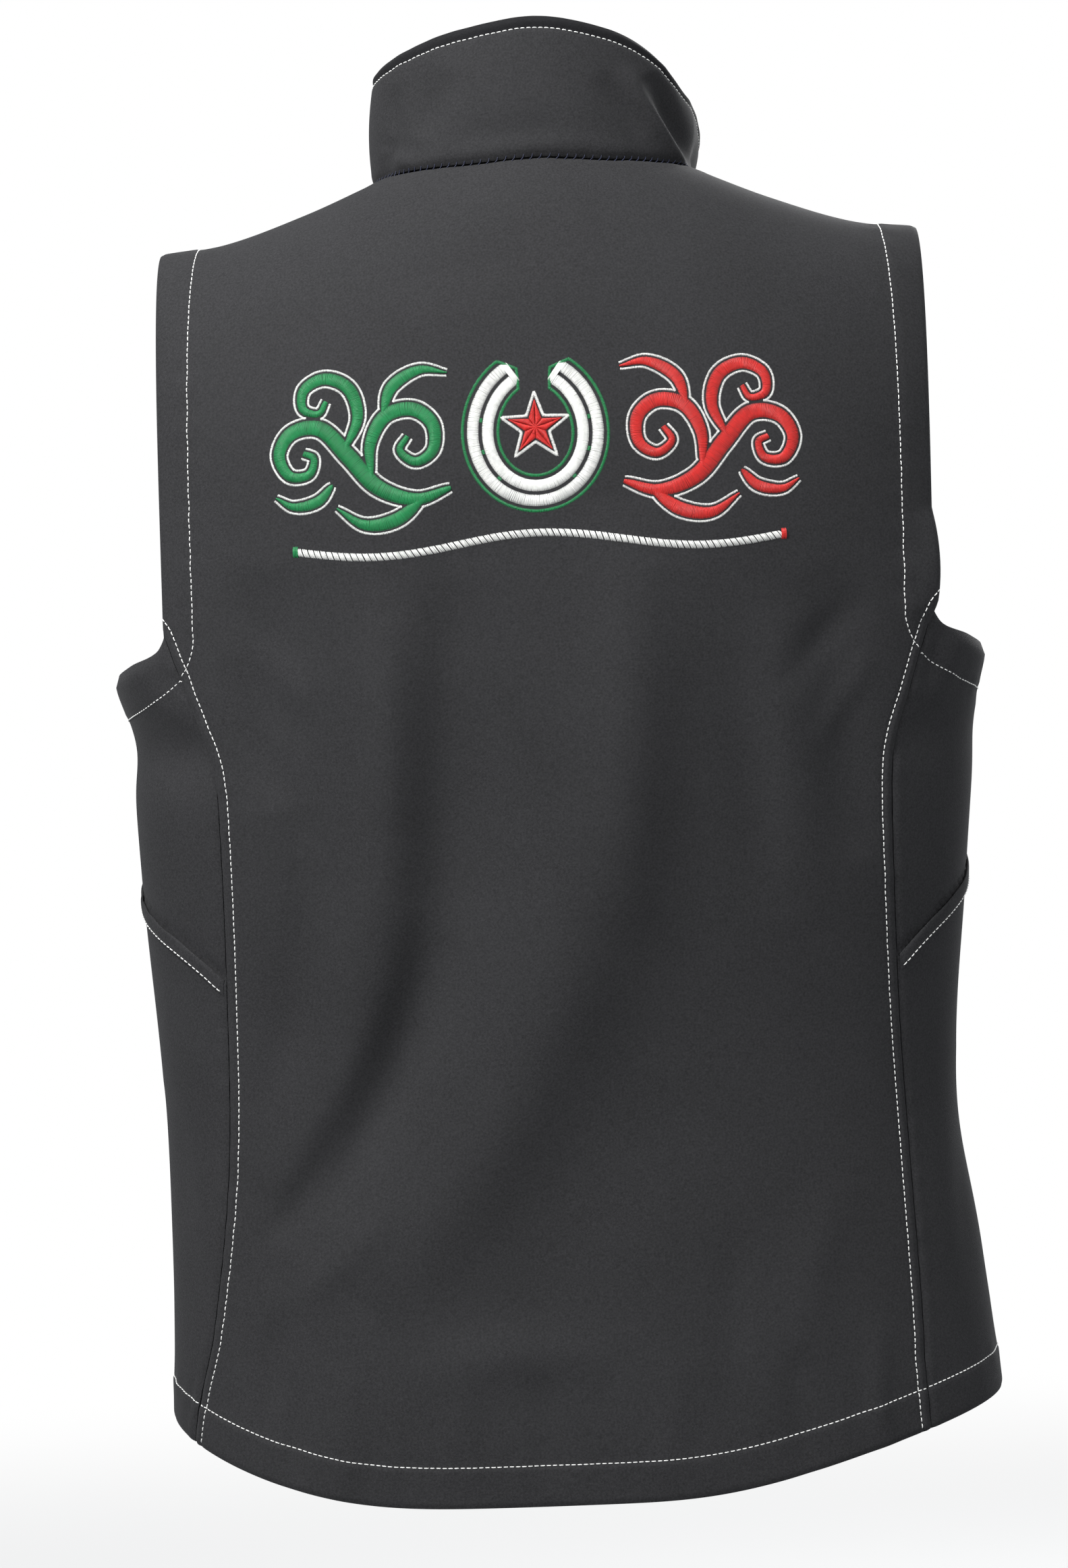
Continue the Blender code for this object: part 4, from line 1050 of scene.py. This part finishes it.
for sign, side in ((1, "left"), (-1, "right")):
    surface = weltSurface(sign)
    piece = sheetFrom("pocket_welt_cloth_" + side, np.linspace(0, 1, 61),
                      stations([(0.12, 0.04), (0.88, 0.10), (1.0, 0.04)]), surface, [clothFinish, clothFinish])
    giveWall(piece, welt["wall"], welt["roundness"], lined=False)
    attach(piece, "vest")
    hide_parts("pocket_welt_" + side)
    lower = pathOf(np.linspace(0.01, 0.99, 90), welt["stitchUp"] / welt["width"])
    whiteRuns["front_" + side].append(stitchRun(lower, surface, 81 + sign))
    end = pathOf(0.99, np.linspace(0.17, 0.95, 12))
    whiteRuns["front_" + side].append(stitchRun(end, surface, 91 + sign))
print("stage: pocket welts")

stitchPieces = {part: threadPiece("topstitch_" + part, runs, whiteThread, topstitch["thread"], 1)
                for part, runs in whiteRuns.items()}
# small slanting hand stitches that hold the collar's lower edge to the body
# places up the collar with their height above it, and slants and places down the body with theirs
handStitch = {"pitch": 0.0042, "thread": 0.00024, "seam": 0.44,
              "onCollar": ((0.026, -0.0004), (0.016, 0.0002), (0.008, 0.0003)),
              "onBody": ((0.05, 0.02, 0.0003), (0.08, 0.05, 0.0002), (0.10, 0.07, -0.0004))}
u = np.linspace(0.8, 2 * collarHalf - 0.8, int(handStitch["seam"] / handStitch["pitch"]))


def bodyBelow(u, down, above):
    step, _ = collarColumn(u)
    return np.where((step <= neckSteps)[:, None], backBelow(u, down, above), frontsBelow(u, down, above))


upper = [collarSurface(u, 0 * u + up, height)[0] for up, height in handStitch["onCollar"]]
lower = [bodyBelow(u + slant, down, height) for slant, down, height in handStitch["onBody"]]
handRun = np.stack([upper[0], upper[1], mix(upper[2], lower[0], 0.5), lower[1], lower[2]], 1)
stitchPieces["neck"] = threadPiece("neck_hand_stitches", [handRun], navyThread, handStitch["thread"], 1)
print("stage: topstitching", sum(len(run) for runs in whiteRuns.values() for run in runs))

# zip
zipFacts = {"inner": -0.0040, "outer": 0.0100, "gap": 0.0007, "tape": 0.0010, "pitch": 0.0026, "places": 420,
            "collarDepth": 0.0033, "rib": 0.00010, "ribPitch": 0.0024, "toothLong": 0.0013, "toothWide": 0.0048,
            "toothDeep": 0.0028, "toothFrom": -0.0074, "toothEdge": 0.00032, "firstTooth": 0.012, "lastTooth": 0.004,
            "flat": (0.014, 0.74)}


def zipPath(sign):
    # rows of points along a front edge from hem to collar top, with the way to the side and the way out
    v = np.linspace(0.15, topRow - 0.05, 260)
    plain = frontForm(sign)
    body = plain(0, v)
    bodyAway = plain(0.5, v) - body
    out = normalOf(plain, 0 * v + 0.02, v)
    bodyOut = out * np.where(out[:, 1:2] > 0, -1, 1)
    w = np.linspace(0.04, 0.97, 50)
    end = collarHalf * (1 + sign)
    neck = collarPlain(end, w)
    neckAway = collarPlain(end - sign * 0.6, w) - neck
    up = collarPlain(end, w + 0.01) - collarPlain(end, w - 0.01)
    neckOut = np.cross(neckAway, up)
    neckOut *= np.sign((neckOut * (neck * [1, 1, 0])).sum(1, keepdims=True))
    edge = np.concatenate([body, neck])
    away = np.concatenate([bodyAway / np.linalg.norm(bodyAway, axis=1, keepdims=True),
                           neckAway / np.linalg.norm(neckAway, axis=1, keepdims=True)])
    outward = np.concatenate([bodyOut, neckOut / np.linalg.norm(neckOut, axis=1, keepdims=True)])
    depth = np.concatenate([0 * v + bodyWall, 0 * w + zipFacts["collarDepth"]]) + zipFacts["gap"]
    reached = lengthsAlong(edge)
    even = np.linspace(0, reached[-1], zipFacts["places"])
    edge, away, outward = (interpRows(even, reached, part) for part in (edge, away, outward))
    depth = np.interp(even, reached, depth)
    kernel = np.hanning(15) / np.hanning(15).sum()

    def soften(part):
        reach = len(kernel) // 2
        padded = np.concatenate([np.repeat(part[:1], reach, 0), part, np.repeat(part[-1:], reach, 0)])
        return np.stack([np.convolve(padded[:, k], kernel, "valid") for k in range(padded.shape[1])], -1)
    away, outward, depth = soften(away), soften(outward), soften(depth[:, None])
    away /= np.linalg.norm(away, axis=1, keepdims=True)
    outward /= np.linalg.norm(outward, axis=1, keepdims=True)
    return even, edge - outward * depth, away, outward


for sign, side in ((1, "left"), (-1, "right")):
    even, edge, away, outward = zipPath(sign)

    def place(u, v):
        k = np.rint(v).astype(int)
        rib = zipFacts["rib"] * np.cos(u * 2 * math.pi / zipFacts["ribPitch"])
        return edge[k] + away[k] * u[:, None] + outward[k] * rib[:, None], outward[k]

    piece = sheetFrom("zip_tape_cloth_" + side, np.linspace(zipFacts["inner"], zipFacts["outer"], 25),
                      np.arange(0, zipFacts["places"], 2, dtype=float), place, [tapeFinish])
    thicken(piece, zipFacts["tape"], -1.0)
    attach(piece, "vest")
    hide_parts("zip_tape_" + side)
    # moulded teeth, each clamped on the tape's inner edge, the two sides half a pitch apart
    shape = bmesh.new()
    first = zipFacts["firstTooth"] + (zipFacts["pitch"] / 2 if sign < 0 else 0)
    for s in np.arange(first, even[-1] - zipFacts["lastTooth"], zipFacts["pitch"]):
        spot, aside, out = (interpRows(s, even, part) for part in (edge, away, outward))
        centre = spot + aside * (zipFacts["toothFrom"] + zipFacts["toothWide"] / 2) - out * zipFacts["tape"] / 2
        turn = Matrix((aside, np.cross(aside, out), out)).transposed().to_4x4()
        size = Matrix.Diagonal((zipFacts["toothWide"], zipFacts["toothLong"], zipFacts["toothDeep"], 1.0))
        bmesh.ops.create_cube(shape, size=1.0, matrix=Matrix.Translation(centre) @ turn @ size)
    bmesh.ops.bevel(shape, geom=shape.edges[:], offset=zipFacts["toothEdge"], affect="EDGES", segments=1,
                    profile=0.5, material=-1)
    bmesh.ops.recalc_face_normals(shape, faces=shape.faces[:])
    teeth = pieceFrom(shape, "zip_teeth_" + side, teethFinish)
    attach(teeth, "vest")

hardware = [  # the solid's node, the piece's name, its body, how round its edges are
    ("zip_slider", "slider_body", "vest", 0.00035),
    ("zip_foot", "zip_box", "vest", 0.00035),
    ("zip_pull", "pull_leaf", "pull_tab", 0.00030),
]
for node, name, body, roundness in hardware:
    shape = bmesh.new()
    shape.from_mesh(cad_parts[node].data)
    bmesh.ops.remove_doubles(shape, verts=shape.verts[:], dist=1e-6)
    bmesh.ops.dissolve_limit(shape, angle_limit=math.radians(3), verts=shape.verts[:], edges=shape.edges[:])
    bmesh.ops.recalc_face_normals(shape, faces=shape.faces[:])
    piece = pieceFrom(shape, name, metalFinish)
    softenEdges(piece, roundness, 3, 35)
    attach(piece, body)
    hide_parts(node)
print("stage: zip")

# embroidery across the upper back
# Plan in millimetres as seen from behind: first number to the viewer's right, second up.
art = {"across": 0.0034, "height": -0.154, "scale": 1.06, "pitch": 0.44, "outlinePitch": 0.44 * 1.05,
       "thread": 0.00026, "rise": 0.00062, "uneven": 0.05, "wide": 2.4, "edgeOff": 1.35, "edgeHalf": 0.55,
       "edgeClear": 0.95}
vines = [
    # corners of the stem, half width at its start, widest, at its tip, and how far back it is widest
    ([(-44, -26), (-62, -31), (-81, -24), (-95, -8), (-109, 7), (-124, 6), (-131, -5), (-126, -16), (-116, -16),
      (-113, -8), (-118, -5)], 1.0, 4.2, 1.4, 0.75),
    ([(-84, -19), (-84, -2), (-76, 12), (-62, 15), (-52, 7), (-52, -6), (-61, -12), (-69, -6), (-65, 1)],
     0.8, 3.6, 1.3, 0.75),
    ([(-97, -4), (-90, 12), (-94, 27), (-106, 33), (-117, 28), (-118, 18), (-110, 15), (-106, 21)],
     0.7, 3.2, 1.2, 0.75),
    ([(-58, -31), (-72, -41), (-88, -43), (-102, -34)], 0.6, 3.4, 0.3, 0.70),
    ([(-77, 14), (-72, 27), (-58, 35), (-44, 33)], 0.6, 3.0, 0.3, 0.70),
    ([(-104, -22), (-112, -30), (-124, -32), (-133, -27)], 0.5, 2.6, 0.3, 0.75),
]
shoe = {"radius": 29.0, "tall": 1.12, "lift": 2.0, "open": 150, "columns": (3.8, -3.8), "half": 3.0,
        "heelFrom": 0.5, "heelTo": 3.2, "heelHalf": 6.9, "heelRound": 0.18, "outline": 9.0, "outlineEnd": 5.6,
        "outlineHalf": 0.8, "nails": (0.17, 0.27, 0.37, 0.63, 0.73, 0.83), "nailHalf": 0.75}
star = {"centre": (0.0, 3.0), "outer": 14.0, "inner": 5.6, "bend": 0.42, "outlineTip": 4.1, "outlineNotch": 1.75,
        "outlineHalf": 0.75}
rope = {"half": 124, "height": -55, "wave": 4.5, "wide": 2.0, "slant": 1.3, "strand": 6, "pitch": 0.52,
        "endLong": 1.2, "endHalf": 2.9}


def backByPlace(x, z):
    # plain back form at a place across and a height
    x, z = gridOf(x, z)
    cutX = x + form["lean"] * (z - form["chest"])
    rise = curveThrough(form["across"], form["rise"], np.abs(cutX), True) - form["chest"]
    share = np.clip((z - form["chest"]) / rise, 0, 1) ** (form["backPower"] / 2)
    high = slicePoint(cutX, np.arcsin(share))
    low = np.stack([x, ringDepth(x, z, "back"), z], -1)
    return np.where((z > form["chest"])[..., None], high, low)


artSurface = surfaceOf(backByPlace, backLift, -1)


def onBack(plan, above):
    plan = plan * art["scale"] / 1000
    return artSurface(art["across"] - plan[..., 0].ravel(), art["height"] + plan[..., 1].ravel(),
                      above)[0].reshape(*plan.shape[:-1], 3)


def throughCorners(corners):
    # smooth line through the corners, at even small steps
    c = np.array(corners, float)
    c = np.vstack([2 * c[0] - c[1], c, 2 * c[-1] - c[-2]])
    t = np.linspace(0, 1, 30)[:, None]
    parts = [0.5 * (2 * c[k + 1] + (c[k + 2] - c[k]) * t + (2 * c[k] - 5 * c[k + 1] + 4 * c[k + 2] - c[k + 3]) * t**2
                    + (3 * c[k + 1] - c[k] - 3 * c[k + 2] + c[k + 3]) * t**3) for k in range(len(c) - 3)]
    return np.vstack(parts)


def evenly(line, pitch):
    # the same line at an even pitch, with its side ways and its share of the way along
    reached = lengthsAlong(line)
    at = np.linspace(0, reached[-1], max(2, int(reached[-1] / pitch)))
    way = interpRows(at + 0.8, reached, line) - interpRows(at - 0.8, reached, line)
    way /= np.maximum(np.linalg.norm(way, axis=1, keepdims=True), 1e-9)
    return interpRows(at, reached, line), np.stack([-way[:, 1], way[:, 0]], -1), at / reached[-1]


needle = np.random.default_rng(5)


def satin(first, last, rise):
    # threads laid side by side from one edge to the other, proud in the middle
    first = first + needle.normal(0, art["uneven"], first.shape)
    last = last + needle.normal(0, art["uneven"], last.shape)
    if np.linalg.norm(last - first, axis=1).max() > art["wide"]:
        steps = ((0.0, -0.25), (0.2, 0.8), (0.5, 1.0), (0.8, 0.8), (1.0, -0.25))
    else:
        steps = ((0.0, -0.2), (0.5, 0.8), (1.0, -0.2))
    return np.stack([onBack(mix(first, last, share), rise * height) for share, height in steps], 1)


artRuns = {"white": [], "green": [], "red": []}


def sewColumn(colour, centre, way, rise):
    # satin column along a centre line, reaching as far as way on both sides
    artRuns[colour].append(satin(centre + way, centre - way, art["rise"] * rise))


def sewOutline(colour, line, half, rise):
    points, ways, _ = evenly(line, art["outlinePitch"])
    sewColumn(colour, points, ways * half, rise)


def vineWidth(share, first, most, tip, lean):
    base = mix(first, tip, share)
    return base + (most - base) * np.sin(math.pi * share**lean) ** 0.9


stems = []
for corners, first, most, tip, lean in vines:
    line, sides, share = evenly(throughCorners(corners), art["pitch"])
    stems.append((line, sides, vineWidth(share, first, most, tip, lean)))
for mirror, colour in ((1, "green"), (-1, "red")):
    for index, (line, sides, half) in enumerate(stems):
        turn = np.array([mirror, 1.0])
        sewColumn(colour, line * turn, sides * half[:, None] * turn, 1.0 - 0.06 * index)
        for edge in (1, -1):  # white edge, left out where another stem runs over it
            outer, ways, _ = evenly(line + sides * edge * (half + art["edgeOff"])[:, None], art["outlinePitch"])
            clear = np.ones(len(outer), bool)
            for otherLine, _, otherHalf in stems:
                gap = np.linalg.norm(outer[:, None] - otherLine[None], axis=2)
                best = gap.argmin(1)
                clear &= gap[np.arange(len(outer)), best] > otherHalf[best] + art["edgeClear"]
            sewColumn("white", outer[clear] * turn, ways[clear] * art["edgeHalf"] * turn, 0.55)

angle = np.radians(np.linspace(-shoe["open"], shoe["open"], 400))
shoeLine = np.stack([shoe["radius"] * np.sin(angle) * (1 - 0.10 * (angle / angle[-1]) ** 2),
                     shoe["lift"] - shoe["radius"] * np.cos(angle) * shoe["tall"]], -1)
line, sides, share = evenly(shoeLine, art["pitch"])
for column in shoe["columns"]:
    sewColumn("white", line + sides * column, sides * shoe["half"], 1.15)
for end in (0, -1):  # heels
    along = line[end] - line[1 if end == 0 else -2]
    along /= np.linalg.norm(along)
    for offset in np.arange(shoe["heelFrom"], shoe["heelTo"], art["pitch"]):
        reach = shoe["heelHalf"] - shoe["heelRound"] * offset**1.5
        sewColumn("white", (line[end] + along * offset)[None], (sides[end] * reach)[None], 1.2)
outline = np.concatenate([
    (line + sides * shoe["outline"])[::-1], [line[0] + (line[0] - line[1]) / art["pitch"] * shoe["outlineEnd"]],
    line - sides * shoe["outline"], [line[-1] + (line[-1] - line[-2]) / art["pitch"] * shoe["outlineEnd"]],
    (line + sides * shoe["outline"])[-1:]])
sewOutline("green", outline, shoe["outlineHalf"], 0.7)
for place in shoe["nails"]:
    k = int(place * len(line))
    marks = line[k] + (line[k + 1] - line[k]) * np.arange(-2, 3)[:, None]
    sewColumn("green", marks, sides[k] * shoe["nailHalf"], 1.0)

corner = np.array([[math.sin(math.pi * k / 5), math.cos(math.pi * k / 5)] for k in range(10)])
middle = np.array(star["centre"])
tips = middle + corner[::2] * star["outer"]
notches = middle + corner[1::2] * star["inner"]
for k in range(5):
    for notch in (notches[k], notches[k - 1]):
        share = np.linspace(0.02, 0.99, int(star["outer"] / art["pitch"]))[:, None]
        axis = mix(middle, tips[k], share)
        bend = star["bend"]
        border = np.where(share < bend, mix(middle, notch, share / bend),
                          mix(notch, tips[k], (share - bend) / (1 - bend)))
        artRuns["red"].append(satin(axis, border, art["rise"] * 1.1))
reach = np.where(np.arange(10) % 2 == 0, star["outer"] + star["outlineTip"], star["inner"] + star["outlineNotch"])
outer = middle + corner * reach[:, None]
sewOutline("white", np.vstack([outer, outer[:1]]), star["outlineHalf"], 0.6)

across = np.linspace(-rope["half"], rope["half"], 900)
ropeLine = np.stack([across, rope["height"] + rope["wave"] * np.cos(across / rope["half"] * math.pi * 1.5)], -1)
line, sides, share = evenly(ropeLine, rope["pitch"])
shift = int(round(rope["slant"] / rope["pitch"]))
for strand in range(rope["strand"] - 1):
    k = np.arange(shift + strand, len(line) - shift, rope["strand"])
    height = art["rise"] * (0.75 + 0.45 * math.sin(math.pi * (strand + 0.5) / (rope["strand"] - 1)))
    reach = sides[k] * rope["wide"]
    artRuns["white"].append(satin(line[k - shift] + reach, line[k + shift] - reach, height))
for end, way, colour in ((0, 1, "green"), (-1, -1, "red")):  # whipped rope ends
    turns = np.arange(-rope["endLong"], rope["endLong"] + 0.1, art["pitch"])
    binding = line[end] + np.array([1, 0]) * way * turns[:, None]
    sewColumn(colour, binding, np.array([0, rope["endHalf"]]), 1.5)

artPieces = [threadPiece("embroidery_" + colour, runs, finish, art["thread"], 0)
             for (colour, runs), finish in zip(artRuns.items(), (whiteThread, greenThread, redThread))]
print("stage: embroidery", [sum(len(run) for run in runs) for runs in artRuns.values()])

# camera, light and floor
camera = {"place": (0.0114, 2.32, -0.342), "lens": 94.24, "roll": -2.2}
lens = bpy.data.cameras.new("photoCamera")
lens.sensor_fit = "VERTICAL"
lens.sensor_height = 36.0
lens.lens = camera["lens"]
viewer = bpy.data.objects.new("photoCamera", lens)
viewer.matrix_world = (Matrix.Translation(camera["place"]) @ Matrix.Rotation(math.pi, 4, "Z")
                       @ Matrix.Rotation(math.pi / 2, 4, "X") @ Matrix.Rotation(math.radians(camera["roll"]), 4, "Z"))
scene.collection.objects.link(viewer)
scene.camera = viewer

# name, place, aim, size, power
lights = [
    ("keySoftbox", (1.55, 1.65, 1.45), (0.0, 0.05, -0.36), 0.8, 97.0),
    ("fillSoftbox", (-1.7, 2.1, 0.3), (0.0, 0.05, -0.35), 1.4, 14.0),
    ("topSoftbox", (0.1, 0.6, 2.2), (0.0, 0.0, -0.20), 1.2, 26.0),
    ("frontSoftbox", (-1.2, -2.3, 0.9), (0.0, -0.05, -0.35), 1.6, 44.0),
]
for name, place, aim, size, power in lights:
    lamp = bpy.data.lights.new(name, "AREA")
    lamp.size = size
    lamp.energy = power
    holder = bpy.data.objects.new(name, lamp)
    way = Vector(aim) - Vector(place)
    holder.matrix_world = Matrix.Translation(place) @ way.to_track_quat("-Z", "Y").to_matrix().to_4x4()
    scene.collection.objects.link(holder)

studio = {"seen": (1.0, 1.0, 1.0, 1.0), "seenStrength": 1.0, "ambient": (0.93, 0.96, 1.0, 1.0),
          "ambientStrength": 0.42}
world = bpy.data.worlds.new("paleStudio")
scene.world = world
world.use_nodes = True
wn, wl = world.node_tree.nodes, world.node_tree.links
seen = wn["Background"]
seen.inputs["Color"].default_value = studio["seen"]
seen.inputs["Strength"].default_value = studio["seenStrength"]
around = wn.new("ShaderNodeBackground")
around.inputs["Color"].default_value = studio["ambient"]
around.inputs["Strength"].default_value = studio["ambientStrength"]
chooser = wn.new("ShaderNodeMixShader")
path = wn.new("ShaderNodeLightPath")
wl.new(path.outputs["Is Camera Ray"], chooser.inputs["Fac"])
wl.new(around.outputs["Background"], chooser.inputs[1])
wl.new(seen.outputs["Background"], chooser.inputs[2])
wl.new(chooser.outputs["Shader"], wn["World Output"].inputs["Surface"])
scene.view_settings.view_transform = "Standard"

# pale floor that melts into the background away from the vest
floorFacts = {"height": -1.30, "radius": 9.0, "meltFrom": 1.6, "meltTo": 4.5, "roughness": 0.9,
              "shade": (0.90, 0.90, 0.89, 1.0)}
shape = bmesh.new()
bmesh.ops.create_circle(shape, cap_ends=True, segments=96, radius=floorFacts["radius"])
bmesh.ops.translate(shape, verts=shape.verts[:], vec=(0, 0, floorFacts["height"]))
floor = pieceFrom(shape, "floor")
floorFinish = bpy.data.materials.new("paleFloor")
floorFinish.use_nodes = True
fn, fl = floorFinish.node_tree.nodes, floorFinish.node_tree.links
fn["Principled BSDF"].inputs["Base Color"].default_value = floorFacts["shade"]
fn["Principled BSDF"].inputs["Roughness"].default_value = floorFacts["roughness"]
glow = fn.new("ShaderNodeEmission")
glow.inputs["Color"].default_value = (1.0, 1.0, 1.0, 1.0)
spot = fn.new("ShaderNodeTexCoord")
span = fn.new("ShaderNodeVectorMath")
span.operation = "LENGTH"
fl.new(spot.outputs["Object"], span.inputs[0])
rim = fn.new("ShaderNodeMapRange")
rim.interpolation_type = "SMOOTHSTEP"
rim.inputs["From Min"].default_value = floorFacts["meltFrom"]
rim.inputs["From Max"].default_value = floorFacts["meltTo"]
fl.new(span.outputs["Value"], rim.inputs["Value"])
melt = fn.new("ShaderNodeMixShader")
fl.new(rim.outputs["Result"], melt.inputs["Fac"])
fl.new(fn["Principled BSDF"].outputs["BSDF"], melt.inputs[1])
fl.new(glow.outputs["Emission"], melt.inputs[2])
fl.new(melt.outputs["Shader"], fn["Material Output"].inputs["Surface"])
floor.data.materials.append(floorFinish)
floor.visible_diffuse = False
floor.visible_glossy = False
